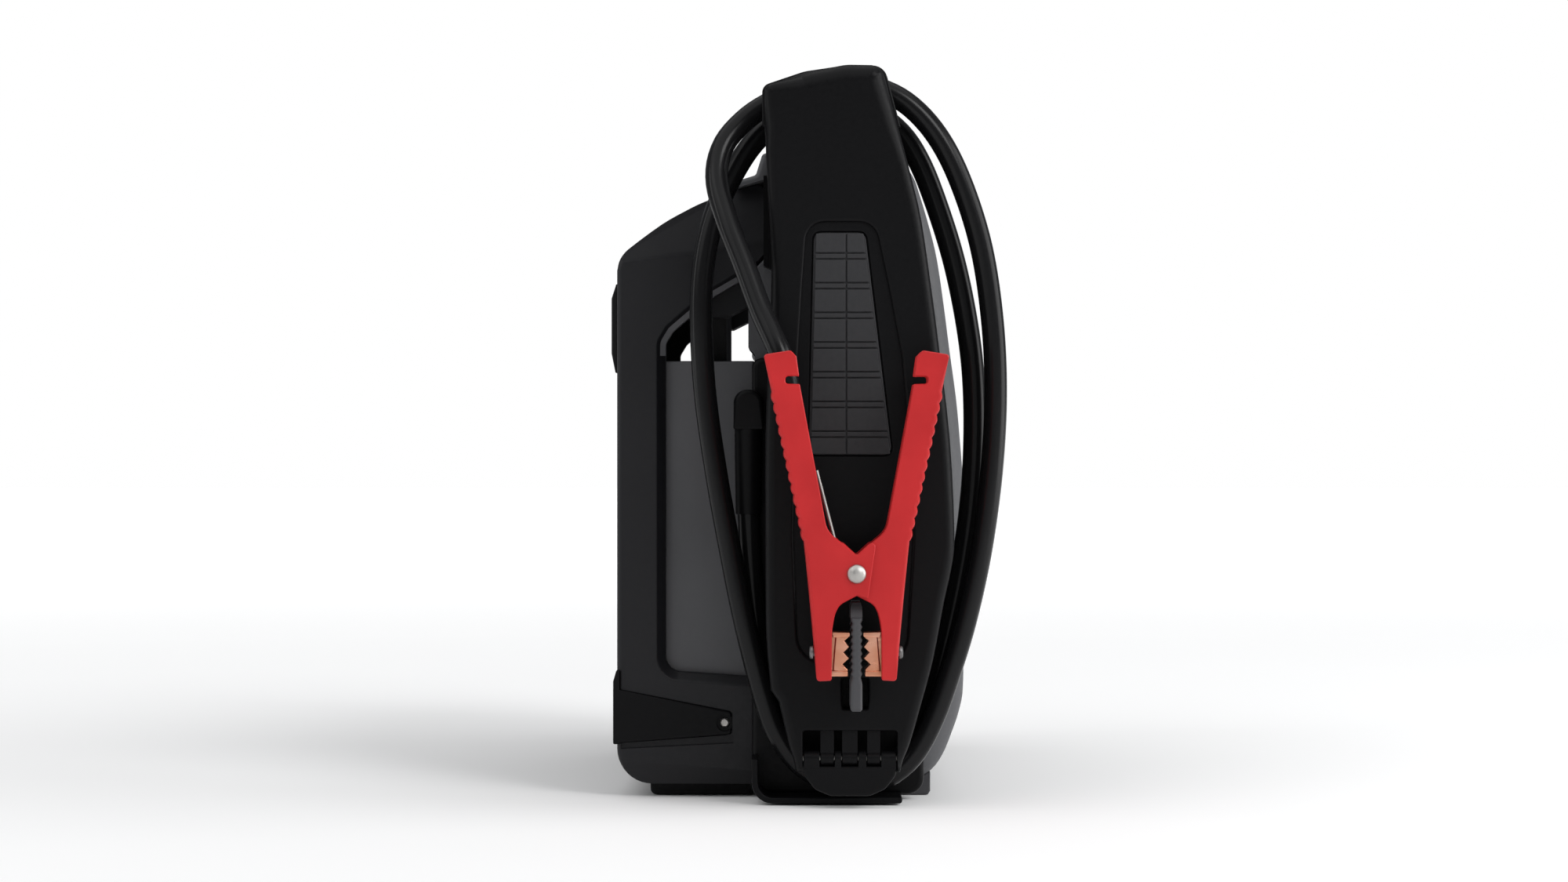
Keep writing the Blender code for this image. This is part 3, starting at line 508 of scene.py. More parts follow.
def turned(profile, axis, centre, sides):
    """A solid of revolution from (distance along the axis, radius) pairs."""
    layers = []
    for along, radius in profile:
        size = max(radius, 0.01)
        angles = [2 * math.pi * k / sides for k in range(sides)]
        layers.append((along, [(size * math.cos(angle), size * math.sin(angle)) for angle in angles]))
    bm = stack(layers, axis)
    bmesh.ops.translate(bm, verts=bm.verts, vec=centre)
    return bm


def rod(axis, low, high, radius, centre, sides):
    return turned([(low, radius), (high, radius)], axis, centre, sides)


def span(end, first, second):
    """Y values at one end of the pack, from two distances outwards of its end face."""
    return sorted((end * (HALF_LENGTH + first), end * (HALF_LENGTH + second)))


def end_soft(outline, end, inner, outer, inner_radius, outer_radius, steps=4):
    """A soft prism at one end of the pack; the outer radius is on the face that looks away from it."""
    radii = (outer_radius, inner_radius) if end < 0 else (inner_radius, outer_radius)
    return soft_prism(outline, "Y", *span(end, inner, outer), *radii, steps)


def end_prism(outline, end, first, second):
    return prism(outline, "Y", *span(end, first, second))


def flared(outline, end, floor, face, flare, steps=3):
    """A cutter for a pocket whose mouth opens out by a flare at the outer face."""
    layers = [(floor, outline)]
    for k in range(steps + 1):
        angle = math.pi / 2 * k / steps
        layers.append((face - flare * (1 - math.sin(angle)), offset(outline, flare * (1 - math.cos(angle)))))
    layers.append((face + 8, offset(outline, flare)))
    return stack([(end * (HALF_LENGTH + out), ring) for out, ring in layers], "Y")


# ---- objects
def raw(bm, name):
    """The bmesh, given in millimetres, as a linked object in metres."""
    bmesh.ops.scale(bm, verts=bm.verts, vec=(MM, MM, MM))
    mesh = bpy.data.meshes.new(name)
    bm.to_mesh(mesh)
    bm.free()
    return linked(name, mesh)


def carve(obj, *steps):
    """Booleans in order; each step is ('cut' or 'add', bmesh). They are applied at once."""
    operands = []
    for kind, bm in steps:
        operands.append(raw(bm, "operand"))
        step = obj.modifiers.new("step", "BOOLEAN")
        step.operation = "UNION" if kind == "add" else "DIFFERENCE"
        step.solver = "EXACT"
        step.object = operands[-1]
    graph = bpy.context.evaluated_depsgraph_get()
    mesh = bpy.data.meshes.new_from_object(obj.evaluated_get(graph))
    obj.modifiers.clear()
    obj.data = mesh
    for operand in operands:
        bpy.data.objects.remove(operand)


def claim(obj, nodes, body):
    """Say which body the piece rides and the nodes it stands for."""
    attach(obj, body)
    if nodes:
        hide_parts(*nodes)


def dress(obj, mat, *nodes, body="root", slot_name=None, sharp=34.0):
    """Give the piece its material, smooth shading, body and nodes; slot_name is not used."""
    mesh = obj.data
    mesh.materials.clear()
    mesh.materials.append(MATS[mat])
    mesh.shade_smooth()
    mesh.set_sharp_from_angle(angle=math.radians(sharp))
    obj.modifiers.new("even_shading", "WEIGHTED_NORMAL").keep_sharp = True
    claim(obj, nodes, body)


def tube(name, points, radius, mat, *nodes, body="root", resolution=6):
    curve = bpy.data.curves.new(name, "CURVE")
    curve.dimensions = "3D"
    curve.bevel_depth = radius * MM
    curve.bevel_resolution = resolution
    curve.use_fill_caps = True
    spline = curve.splines.new("POLY")
    spline.points.add(len(points) - 1)
    for point, place in zip(spline.points, points):
        point.co = (*(Vector(place) * MM), 1.0)
    spline.use_smooth = True
    curve.materials.append(MATS[mat])
    obj = linked(name, curve)
    claim(obj, nodes, body)
    return obj


# ---- cable
def cable_route():
    """(X, distance out from the near end face, Z): two turns round the holster, then the clamp."""
    stretches = (
        (TURN_OUT, (
            (GLAND_X, 188), (GLAND_X, 170), (-21.1, 150), (-19.8, 122), (-16.9, 92), (-11.8, 62),
            (-3.6, 37), (9.5, 19.5), (29, 12.2), (49, 16), (64.5, 30.5), (76, 57), (84.5, 90),
            (91.5, 124), (96.4, 158), (98.4, 192), (97.7, 225), (94.2, 254), (87.8, 285),
            (79.3, 313), (69.5, 338), (58.5, 354.5), (42, 366), (22, 369.5), (2, 364.5),
            (-16.5, 1, 351), (-29.8, 3, 331.5), (-39.3, 6, 309.5), (-44.6, 8, 286),
            (-46.3, 9, 258), (-44.2, 9, 217), (-38.4, 10, 175), (-31, 11, 134), (-22.6, 12.4, 93))),
        (TURN_OUT + TURN_PITCH, (
            (-11.8, 52), (-4.4, 34.5), (6.5, 20.5), (21, 12.2), (37.5, 10.6), (53, 15),
            (66, 26.5), (76.5, 46), (85, 70), (93.4, 98), (101.2, 134), (106.7, 175),
            (108.8, 215), (107.1, 254), (101.2, 293), (90.5, 327), (78.3, 351), (63.3, 367.5),
            (47, 376), (28, 379.2), (8, 376.3), (-8, 369.5), (-22.5, 1.5, 360), (-34.3, 7, 345.5),
            (-37.6, 15, 327.5), (-32, 25, 305), (-22.8, 34, 281), (-14, 43, 257))),
        (CLAMP_OUT, ((-4.2, 234.5), (0.9, 213))),
    )
    return [(x, base + sum(more), z) for base, points in stretches for x, *more, z in points]


def make_cable():
    route = [(x, -(HALF_LENGTH + out), z) for x, out, z in cable_route()]
    path = spaced(route, 420)
    cable = tube("battery_cable", path, CABLE_D / 2, "cable", "positive_cable")
    length = sum((b - a).length for a, b in zip(path, path[1:]))
    return cable, Vector(route[0]) * MM, length * MM


# ---- rear shell
def rear_outline():
    x0 = SEAM_REAR
    foot = rounded([(x0, BODY_BOTTOM), (REAR_X, BODY_BOTTOM), (REAR_X, 60.0)], [0, 19, 0], 10)[1:-1]
    shoulder = flowing([(REAR_X, 282), (-90.9, 287), (-88.4, 291.2), (-84, 295.2), (-68.1, 307.1),
                        (-55.9, 314.2), (-44.9, 319.6), (-29.1, 325.2)], 3)
    ridge = rounded([shoulder[-1], (RIDGE_X, RIDGE_Z), (RIDGE_X, 290)], [0, 3.4, 0], 5)[1:-1]
    return [(x0, BODY_BOTTOM)] + foot + shoulder + ridge + [(RIDGE_X, 290), (x0, 284)]


def window_cutter(end):
    """The window and its bevelled rim."""
    window = rounded([(10, 62.8), (-24, 64.7), (-65.9, 67.6), (-65.9, 236.5), (-65.9, 243), (-62, 249.5),
                      (-39.5, 268.6), (-21, 279.3), (10, 297)], [0, 0, 8.3, 0, 5, 8, 16, 0, 0], 7)
    rim = [(-5.3, 0.0), (-4.8, 0.25), (-4.3, 0.7), (-2.0, 3.0), (-1.0, 3.9), (-0.4, 4.6), (0.1, 5.6),
           (8.0, 5.6)]
    layers = [(end * (HALF_LENGTH - 16), window)]
    layers += [(end * (HALF_LENGTH + out), offset(window, wide)) for out, wide in rim]
    return stack(layers, "Y")


def guard_outline(margin):
    return rounded([(REAR_X - 2 - margin, 29 - margin), (-30.5 + margin, 33.8 - margin),
                    (-30.5 + margin, 45.7 + margin), (REAR_X - 2 - margin, 58.3 + margin)],
                   [0.6, 2, 2, 0.6], 3)


def face_tilt(end, upper):
    """Wedge taken off the end face above or below its crease, so that the face leans inwards there."""
    if upper:
        line, far, deep = ((REAR_X - 8, 284.6), (5, 297.3)), 345.0, 14.0
    else:
        line, far, deep = ((REAR_X - 8, 21.1), (5, 12.5)), -8.0, 7.0
    y0, y1, y2 = (end * (HALF_LENGTH + d) for d in (0.0, 12.0, -deep))
    points = []
    for x, z in line:
        points += [(x, y0, z), (x, y1, z), (x, y1, far), (x, y2, far)]
    return hull(points)


def paint_rim_highlights(obj):
    """Give the inner part of each window's bevel a lighter grey, glossier material: a painted highlight
    where the bevel catches the light.
    """
    obj.data.materials.append(MATS["rim"])
    for face in obj.data.polygons:
        x, y, z = face.center / MM
        inside = REAR_X + 22 < x < SEAM_REAR and DECK_Z + 3 < z < 300
        if inside and -5.4 < abs(y) - HALF_LENGTH < -1.9 and 0.1 < abs(face.normal.y) < 0.9:
            face.material_index = 1


def make_rear_shell():
    def at_seam(p):
        return p[0] > SEAM_REAR - 0.6

    obj = raw(soft_prism(rear_outline(), "Y", -HALF_LENGTH, HALF_LENGTH, 3.0, 3.0, 5, at_seam), "rear_case")
    inner = HALF_LENGTH - WALL
    lower = rounded(rect(5, BODY_BOTTOM + WALL, REAR_X + WALL, DECK_Z - WALL), [0, 16, 2, 0], 6)
    tunnel = rounded([(5, DECK_Z), (REAR_X + WALL, DECK_Z), (REAR_X + WALL, 281.5), (-82, 291.1),
                      (-54.4, 310.6), (-28.1, 321.3), (-13.3, 325.6), (5, 331)],
                     [0, 3, 6, 6, 30, 20, 0, 0], 4)
    sleeve = [(SEAM_REAR, 54.5), (-72, 56), (-72, 256), (-64, 264), (SEAM_REAR, 290)]
    seat = rounded([(10, 58.6), (-50, 60.7), (-68.4, 62.6), (-68.4, DECK_Z), (10, DECK_Z)],
                   [0, 0, 13, 0, 0], 8)
    steps = [("cut", face_tilt(end, upper)) for end in ENDS for upper in (True, False)]
    steps += [("cut", prism(lower, "Y", -inner, inner)), ("cut", prism(tunnel, "Y", -inner + 9, inner - 9))]
    steps += [("add", end_prism(sleeve, end, -13, -2)) for end in ENDS]
    steps += [("cut", window_cutter(end)) for end in ENDS]
    steps += [("cut", end_prism(seat, end, -16, -9.2)) for end in ENDS]
    finger = rounded(rect(-60, -76, 10, 76), [14, 0, 0, 14], 8)
    steps.append(("cut", stack([(DECK_Z + 45, finger), (TOP_Z, offset(finger, 6))], "Z")))
    rib = [(-45, DECK_Z - 1), (-34, DECK_Z - 1), (-34, 321), (-45, 317)]
    web = [(-87, 286), (-54, 312), (-20, 324), (-20, 264.5), (-33, 258), (-46, 258), (-60, 264), (-90, 271)]
    shade = [(-90, 28.6), (-29.8, 33.5), (-29.8, 28.9), (-90, 25.9)]
    for end in ENDS:
        steps.append(("add", end_prism(rib, end, -58, -54)))
        steps += [("add", end_prism(web, end, out, out + 2)) for out in (-44, -32, -20)]
        steps += [("cut", end_prism(outline, end, -1.8, 5)) for outline in (guard_outline(0.35), shade)]
        low, high = span(end, -42, 5)
        steps.append(("cut", block((REAR_X - 5, low, 28.1), (REAR_X + 1.8, high, 68.4), 1.2)))
    marks = [(-1, 5.4), (0.9, 4.2), (2, 4.2), (2, 1.9), (6, 1.9)]
    well = [(REAR_X + deep, radius) for deep, radius in marks]
    steps += [("cut", turned(well, "X", x_centre(f"case_screw_{k}"), 28)) for k in range(1, 5)]
    carve(obj, *steps)
    dress(obj, "black", "rear_shell")
    paint_rim_highlights(obj)


# ---- front shell
def front_side():
    """The control side's profile, bottom to top."""
    return flowing([(66, BODY_BOTTOM), (77, 13.5), (83.2, 22), (87.8, 33), (92.4, 47), (FRONT_X - 0.2, 62),
                    (FRONT_X, 110), (94, 167), (92.4, 192), (90.3, 214.5), (86.8, 240), (84, 262),
                    (80.2, 288), (76.2, 305), (70.6, 324), (66.8, 334), (60, 341.5), (50, TOP_Z)], 3)


def front_outline():
    x0 = SEAM_FRONT
    notch = [(-12.7, 330.4), (-12.7, 289), (x0, 283), (x0, 279), (-21.6, 275), (-21.6, 241), (x0, 237)]
    crest = rounded([(50, TOP_Z), (-14, TOP_Z), (-17.6, 333.4), (-28.4, 330), (-28.9, 326.1),
                     (-12.7, 330.4)], [0, 2.4, 2, 1.8, 1.0, 0], 3)
    return [(x0, BODY_BOTTOM)] + front_side() + crest[1:-1] + notch


def make_front_shell():
    outline = front_outline()
    radii = []
    for x, z in outline:
        share = min(max((x - 48) / 16, 0.0), 1.0)
        radius = 1.6 + 14.0 * share * share * (3 - 2 * share)
        if x < -13 and z > 325:
            radius = 2.6 if z > 328.2 + (x + 28.9) * 0.27 else 0.4
        radii.append(radius)

    def at_seam(p):
        return p[0] < SEAM_FRONT + 1 and p[1] < 290

    obj = raw(soft_prism(outline, "Y", -HALF_LENGTH, HALF_LENGTH, radii, radii, 11, at_seam), "front_case")
    inner = HALF_LENGTH - WALL - 12
    side = [p for p in front_side() if 12 < p[1] < TOP_Z - 6]
    skin = offset([(0, 10)] + side + [(0, TOP_Z - WALL)], -WALL - 0.4)[1:-1]
    low_part = [p for p in skin if p[1] < DECK_Z]
    high_part = [p for p in skin if p[1] > DECK_Z]
    back, tower_back = SEAM_FRONT - 8, -9
    lower = [(back, 10), (low_part[0][0], 10)] + low_part + [(low_part[-1][0], DECK_Z), (back, DECK_Z)]
    tower = [(tower_back, DECK_Z - 4), (high_part[0][0], DECK_Z - 4)] + high_part + [
        (high_part[-1][0] - 8, TOP_Z - WALL), (tower_back, TOP_Z - WALL)]
    steps = [("cut", prism(lower, "Y", -inner, inner))]
    for end in ENDS:
        steps.append(("cut", prism(tower, "Y", *sorted((end * (HAND_HALF + WALL), end * inner)))))
    hand = rounded(rect(-HAND_HALF, DECK_Z + 3, HAND_HALF, TOP_Z + 20), [12, 12, 0, 0], 8)
    hole = face_rect(*corners("control_panel"), GAP)
    carve(obj, *steps, ("cut", prism(hand, "X", -30, 110)), ("cut", prism(hole, "X", 86, 110)))
    dress(obj, "grey", "front_shell")


# ---- holsters
def plate_outline():
    right = flowing([(57.6, 19), (59.2, 24.5), (62.9, 33.7), (68.2, 52), (75.1, 77.6), (80.8, 107.7),
                     (84.6, 125), (86.1, 142.6), (83.7, 191.8), (78.4, 237), (74.1, 270), (69, 305),
                     (64, 326.7), (57.2, 352.7)], 3)
    top = rounded([(57.2, 352.7), (48.4, 386.4), (30, PLATE_HIGH.z), (8, 382.6), (-12.6, 375.2),
                   (-12.5, 354)], [0, 9, 30, 30, 4.5, 0], 8)[1:-1]
    left = flowing([(-12.5, 354), (-10.8, 318), (-9, 278.8), (-10.6, 235), (-12.2, 191.8), (-12.2, 130),
                    (-11.8, 90), (-9.4, 61.4)], 3)
    return right + top + left + [(-5.3, 55.5), (0, 33), (2.8, 24), (3.6, 19)]


def hood_outline():
    """Rim of the hood over the windings, a little wider than the plate."""
    outer = rounded([(58.4, 354.5), (49.8, PLATE_HIGH.z - 0.2), (30, PLATE_HIGH.z), (8, 383.6),
                     (-13.9, 376.2), (-13.9, 355)], [0, 8, 30, 30, 5, 0], 6)
    inner = rounded([(-10.7, 355), (-10.7, 373.6), (8, 380.2), (30, 383.7), (47.2, 383.5), (55.1, 354.5)],
                    [0, 3, 26, 26, 5.5, 0], 6)
    return outer + inner


def tray_outline():
    """Lip at the foot of the holster, under the windings."""
    outer = rounded([(-19.5, 24), (-19.5, 0.7), (59.5, 0.7), (59.5, 3.9)], [0, 11, 1.5, 1.2], 7)
    inner = rounded([(59.5, 3.9), (-16.2, 3.9), (-16.2, 24)], [0, 8, 0], 7)
    return outer[:-1] + inner[1:]


def pocket_outline():
    side = [(44.6, 304.4), (52.3, 268), (58.5, 235), (62.5, 190), (64.4, 140), (60.5, 76)]
    other = [(5.0, 76), (2.4, 140), (3.2, 190), (4.8, 235), (6.8, 268), (9.4, 304.4)]
    return rounded(side + other, [10, 0, 0, 0, 0, 14, 14, 0, 0, 0, 0, 10], 6)


def pad_outline(margin):
    m, (x0, x1, x2, x3) = margin, PAD_X
    low, high = PAD_Z[0] - m, PAD_Z[1] + m
    return rounded([(x0 - m, low), (x1 + m, low), (x2 + m, high), (x3 - m, high)], 4, 5)


def make_holster(end, name):
    outline = plate_outline()
    radii = [5.2 + 4.0 * min(max((z - 340) / 30, 0.0), 1.0) for _, z in outline]
    obj = raw(end_soft(outline, end, GROOVE_OUT, PLATE_OUT, 1.5, radii, 7), f"cord_holster_{name}")
    base = rounded(rect(-19.5, BASE_BOTTOM + 1.9, 72, 235), [10, 9, 5, 5], 7)
    stalk = rounded([(-2, 42), (64, 42), (60, 250), (44, 344), (0, 344)], [14, 14, 0, 12, 12], 6)
    cheek = [(-13.4, 332), (-13.4, 284), (2, 277), (2, 332)]
    slit = rounded(rect(27.5, 51.6, 41.3, 68), 1.5, 4)
    left, right = FLAP_RECESS
    recess = rounded(rect(left, 6.3, right, 40.6), 1.3, 3)
    steps = [
        ("add", end_prism(cheek, end, GAP, BASE_OUT)),
        ("add", end_prism(stalk, end, GAP, GROOVE_OUT + 1)),
        ("add", end_soft(base, end, GAP, BASE_OUT, 0.6, 3.0, 5)),
        ("add", end_soft(hood_outline(), end, HOOD_OUT, GROOVE_OUT + 1, 0.9, 0.9, 3)),
        ("add", end_soft(tray_outline(), end, BASE_OUT - 3.5, TRAY_OUT, 0.3, 0.9, 3)),
        ("cut", flared(pocket_outline(), end, PLATE_OUT - 1.8, PLATE_OUT, 1.6, 4)),
        ("cut", flared(pad_outline(0.5), end, PLATE_OUT - 4, PLATE_OUT - 1.8, 0.8, 3)),
        ("cut", flared(slit, end, GROOVE_OUT - 4, PLATE_OUT, 1.0, 3)),
        ("cut", flared(recess, end, GROOVE_OUT - 2.3, PLATE_OUT, 1.1, 3)),
    ]
    pin = (0.0, end * (HALF_LENGTH + FLAP_OUT), FLAP_Z)
    near, far = span(end, FLAP_OUT - 3.6, FLAP_OUT + 2.1)
    for low, high in PLATE_FINGERS:
        rim = [(low, 3.2), (low + 0.4, 3.6), (high - 0.4, 3.6), (high, 3.2)]
        steps.append(("add", block((low, near, FLAP_Z), (high, far, 44), 0.4)))
        steps.append(("add", turned(rim, "X", pin, 28)))
    steps.append(("cut", rod("X", 4.6, 57.4, PIN_HOLE, pin, 20)))
    carve(obj, *steps)
    dress(obj, "plate", f"holster_{name}")


def rib_tile(low, high, side):
    """One rib of the insert; its outer end follows the insert's slanted edge."""
    def edge(z):
        t = (z - PAD_Z[0]) / 115.0
        low, high = (PAD_X[0], PAD_X[3]) if side < 0 else PAD_X[1:3]
        return low + (high - low) * t - side

    inner = 29.8 + side * 0.35
    points = [(inner, low), (edge(low), low), (edge(high), high), (inner, high)]
    return rounded(points[::-1] if side < 0 else points, 0.5, 2)


def make_grip_pad(end, name):
    """Rubber insert with rows of ribs in two columns, split by pairs of grooves."""
    face = PLATE_OUT - 0.9
    obj = raw(end_soft(pad_outline(0), end, PLATE_OUT - 3.7, face - 0.6, 0.4, 0.8, 3), f"rib_insert_{name}")
    first, pitch, strip, rows = 286.7, 15.4, 1.9, 7
    edges = [299.2] + [first - k * pitch for k in range(rows)] + [183.2]
    spans = []
    for k, (top, bottom) in enumerate(zip(edges, edges[1:])):
        spans.append((bottom + (strip if k < rows else 0.8), top - (strip if k else 0.8)))
        if k < rows:
            spans.append((bottom - strip + 0.7, bottom + strip - 0.7))
    tiles = [rib_tile(low, high, side) for low, high in spans for side in (-1, 1)]
    carve(obj, *(("add", end_soft(tile, end, face - 1.4, face + 0.5, 0.0, 0.4, 3)) for tile in tiles))
    dress(obj, "pad", f"grip_pad_{name}")


def make_post(end, name):
    """Parking post: a blade with toothed sides that the jaws bite into."""
    teeth = []
    for k in range(9):
        z = 99.5 - k * 3.4
        teeth += [(POST_HALF, z), (POST_HALF - 0.8, z - 1.7)]
    blade = [(POST_HALF - 0.8, 108.4), (POST_HALF, 106)] + teeth + [
        (POST_HALF, 67), (POST_HALF, 54), (POST_HALF - 1, 53)]
    outline = [(POST_X + x, z) for x, z in blade] + [(POST_X - x, z) for x, z in reversed(blade)]
    obj = raw(end_soft(outline, end, PLATE_OUT + GAP, POST_OUT, 0.3, 1.6, 4), f"parking_post_{name}")
    foot = rounded(rect(POST_X - POST_HALF, 53, POST_X + POST_HALF, 66.8), 1, 3)
    crown = [(end * (HALF_LENGTH + out), z) for out, z in (
        (PLATE_OUT + 24, 112), (POST_OUT - 6, 108.6), (POST_OUT - 1.5, 101), (POST_OUT + 5, 98),
        (POST_OUT + 5, 112))]
    carve(obj, ("add", end_prism(foot, end, GROOVE_OUT - 2, PLATE_OUT + 1.5)),
          ("cut", prism(crown, "X", POST_X - 8, POST_X + 8)))
    dress(obj, "post", f"clamp_post_{name}")


def make_flap(end, name):
    """Cable retainer: a rounded apron that hangs from four hinge fingers."""
    apron = rounded([(7.6, 21.9), (55.8, 21.9), (55.8, 17.5), (50, 10), (42, 6.5), (21.5, 6.5),
                     (13.4, 10), (7.6, 17.5)], [1, 1, 7, 7, 9, 9, 7, 7], 5)
    high_out = FLAP_OUT + 3.5
    obj = raw(end_soft(apron, end, FLAP_OUT - 4.5, high_out, 0.8, 1.8, 5), f"retainer_flap_{name}")
    pin = (0.0, end * (HALF_LENGTH + FLAP_OUT), FLAP_Z)
    near, far = span(end, FLAP_OUT - 3.7, high_out - 0.1)
    steps = []
    for low, high in FLAP_FINGERS:
        rim = [(low, 3.4), (low + 0.4, 3.8), (high - 0.4, 3.8), (high, 3.4)]
        steps.append(("add", turned(rim, "X", pin, 32)))
        steps.append(("add", block((low, near, 19.6), (high, far, FLAP_Z), 0.4)))
    carve(obj, *steps, ("cut", rod("X", 0, 60, PIN_HOLE, pin, 20)))
    dress(obj, "plate", f"cable_flap_{name}", body=f"flap_{name}")


def make_outlet_hood(end, name):
    """Arched cable outlet with a tapered sleeve that points down."""
    arch = rounded(rect(-29.2, 197, -13.4, 218), [1, 1, 7.4, 7.4], 9)
    inner, outer = BASE_OUT + 0.8, TURN_OUT + 7.6
    obj = raw(end_soft(arch, end, inner, outer, 0.8, 2.6, 6), f"cable_outlet_{name}")
    centre = (GLAND_X, end * (HALF_LENGTH + TURN_OUT), 0)
    sleeve = [(152, 6.5), (152.6, 6.8), (176, 7.2), (196, 7.4), (199, 7.4)]
    x, z = LEAD_EXIT
    carve(obj, ("add", rod("Y", *span(end, -9.2, inner + 2), 4.2, (x, 0, z), 28)),
          ("add", turned(sleeve, "Z", centre, 36)),
          ("cut", rod("Z", 140, 192, CABLE_D / 2 + GAP, centre, 36)))
    dress(obj, "plate", f"cable_gland_{name}")


# ---- case pieces
def x_centre(node):
    """Where a turned solid that stands along X has its axis, from the node's box."""
    low, high = corners(node)
    return (0, (low.y + high.y) / 2, (low.z + high.z) / 2)


def make_end_panel(end, name):
    _, high = corners(f"end_panel_{name}")
    outline = rounded([(high.x, 59.2), (-50, 61), (-68.1, 62.9), (-68.1, high.z), (high.x, high.z)],
                      [0, 0, 12.7, 0.8, 0.8], 8)
    obj = raw(end_soft(outline, end, -12.5, -9.5, 0.3, 0.8, 3), f"grey_end_panel_{name}")
    dress(obj, "panel", f"end_panel_{name}")


def make_guard(end, name):
    obj = raw(end_soft(guard_outline(0), end, -1.5, 2, 0.2, 1.0, 4), f"corner_bumper_{name}")
    x0, x1 = REAR_X - 2, REAR_X + 1.5
    wrap = rounded([(x0, 28.5), (x0, 62), (REAR_X - 0.3, 68), (x1, 68), (x1, 28.5)],
                   [0.8, 1, 0.8, 0.3, 0.3], 3)
    carve(obj, ("add", soft_prism(wrap, "Y", *span(end, -41, 2), 1.0, 1.0, 3)),
          ("cut", rod("Y", *span(end, -3, 4), 2.9, GUARD_SCREW, 24)),
          ("cut", rod("Y", *span(end, 0.2, 6), 4.6, GUARD_SCREW, 28)))
    dress(obj, "plate", f"corner_guard_{name}")


def make_rear_pad(end, name):
    low, high = corners(f"rear_pad_{name}")
    outline = rounded([(high.x, low.z), (high.x - 1.1, low.z), (low.x, 238), (low.x, 267.5),
                       (high.x - 0.7, high.z), (high.x, high.z)], [0, 0.6, 3, 3, 0.6, 0], 4)
    obj = raw(soft_prism(outline, "Y", low.y, high.y, 1.0, 1.0, 3), f"rear_bumper_{name}")
    ribs = []
    for k in range(6):
        z = 241.5 + k * 4.6
        groove = rounded(rect(low.y + 5, z - 0.8, high.y - 5, z + 0.8), 0.7, 3)
        ribs.append(("cut", prism(groove, "X", low.x - 1, low.x + 0.9)))
    carve(obj, *ribs)
    dress(obj, "rubber", f"rear_pad_{name}")


def make_feet(end, name):
    # the front feet are black rubber like the rear ones but take the lighter post grey: a painted highlight
    # for the light falling on them
    for kind, tint in (("rear", "rubber"), ("front", "post")):
        low, high = corners(f"foot_{kind}_{name}")
        if kind == "rear":
            outline = rounded(rect(low.x, 0, high.x, high.z), [3.3, 1.5, 0.5, 0.5], 5)
        else:
            outline = rounded([(low.x, 0), (75.2, 0), (high.x, 2), (high.x, high.z), (66.2, 6.6),
                               (low.x, 6.7)], [1.5, 1, 1, 0.5, 0, 0], 3)
        obj = raw(soft_prism(outline, "Y", low.y, high.y, 1.2, 1.2, 4), f"foot_pad_{kind}_{name}")
        dress(obj, tint, f"foot_{kind}_{name}", slot_name="black_rubber")


def make_handle():
    low, high = corners("handle_bar")
    bar = rounded(rect(low.x, low.z, high.x, high.z), 11, 10)
    obj = raw(soft_prism(bar, "Y", low.y, high.y, 0.4, 0.4, 2), "carry_bar")
    collars = []
    for side in (-1, 1):
        near, far = sorted((side * 63.0, side * (high.y - 0.2)))
        collars.append(("add", soft_prism(offset(bar, 2.4), "Y", near, far, 1.2, 1.2, 3)))
    carve(obj, *collars)
    dress(obj, "plate", "handle_bar")
    low, high = corners("handle_grip")
    grip = rounded(rect(low.x, low.z, high.x, high.z), 14, 10)
    layers = []
    waves, per_wave = 18, 4
    last = waves * per_wave
    for k in range(last + 1):
        y = low.y + (high.y - low.y) * k / last
        wave = 0.5 - 0.5 * math.cos(2 * math.pi * k / per_wave)
        edge = 1.6 if k in (0, last) else 0.0
        layers.append((y, offset(grip, -wave * 0.8 - edge)))
    obj = raw(stack(layers, "Y"), "grip_sleeve")
    carve(obj, ("cut", prism(offset(bar, 0.3), "Y", low.y - 3, high.y + 3)))
    dress(obj, "pad", "handle_grip", sharp=60)


# ---- controls
def face_plate(node, name, radius, steps, low_edge, high_edge):
    """A plate that fills a node's box, with rounded corners seen along X, and the box's corners."""
    low, high = corners(node)
    outline = rounded(face_rect(low, high), radius, steps)
    return raw(soft_prism(outline, "X", low.x, high.x, low_edge, high_edge), name), low, high


def make_panel():
    obj, low, high = face_plate("control_panel", "control_plate", 5, 6, 0.3, 0.9)
    steps = []
    for node, grow, rim in (("dc_socket", 0.3, 12.3), ("test_button", 0.5, 7.6)):
        profile = [(80, rim), (high.x - 0.9, rim), (high.x - 0.2, rim + 0.9), (110, rim + 0.9 + grow)]
        steps.append(("cut", turned(profile, "X", x_centre(node), 48)))
    for node, grow in (("power_switch", 0.6), ("gauge_lens", 0.3), ("charge_port", 0.3)):
        hole = rounded(face_rect(*corners(node), grow), 1.2, 4)
        steps.append(("cut", prism(hole, "X", 80, 110)))
    carve(obj, *steps)
    dress(obj, "plate", "control_panel")


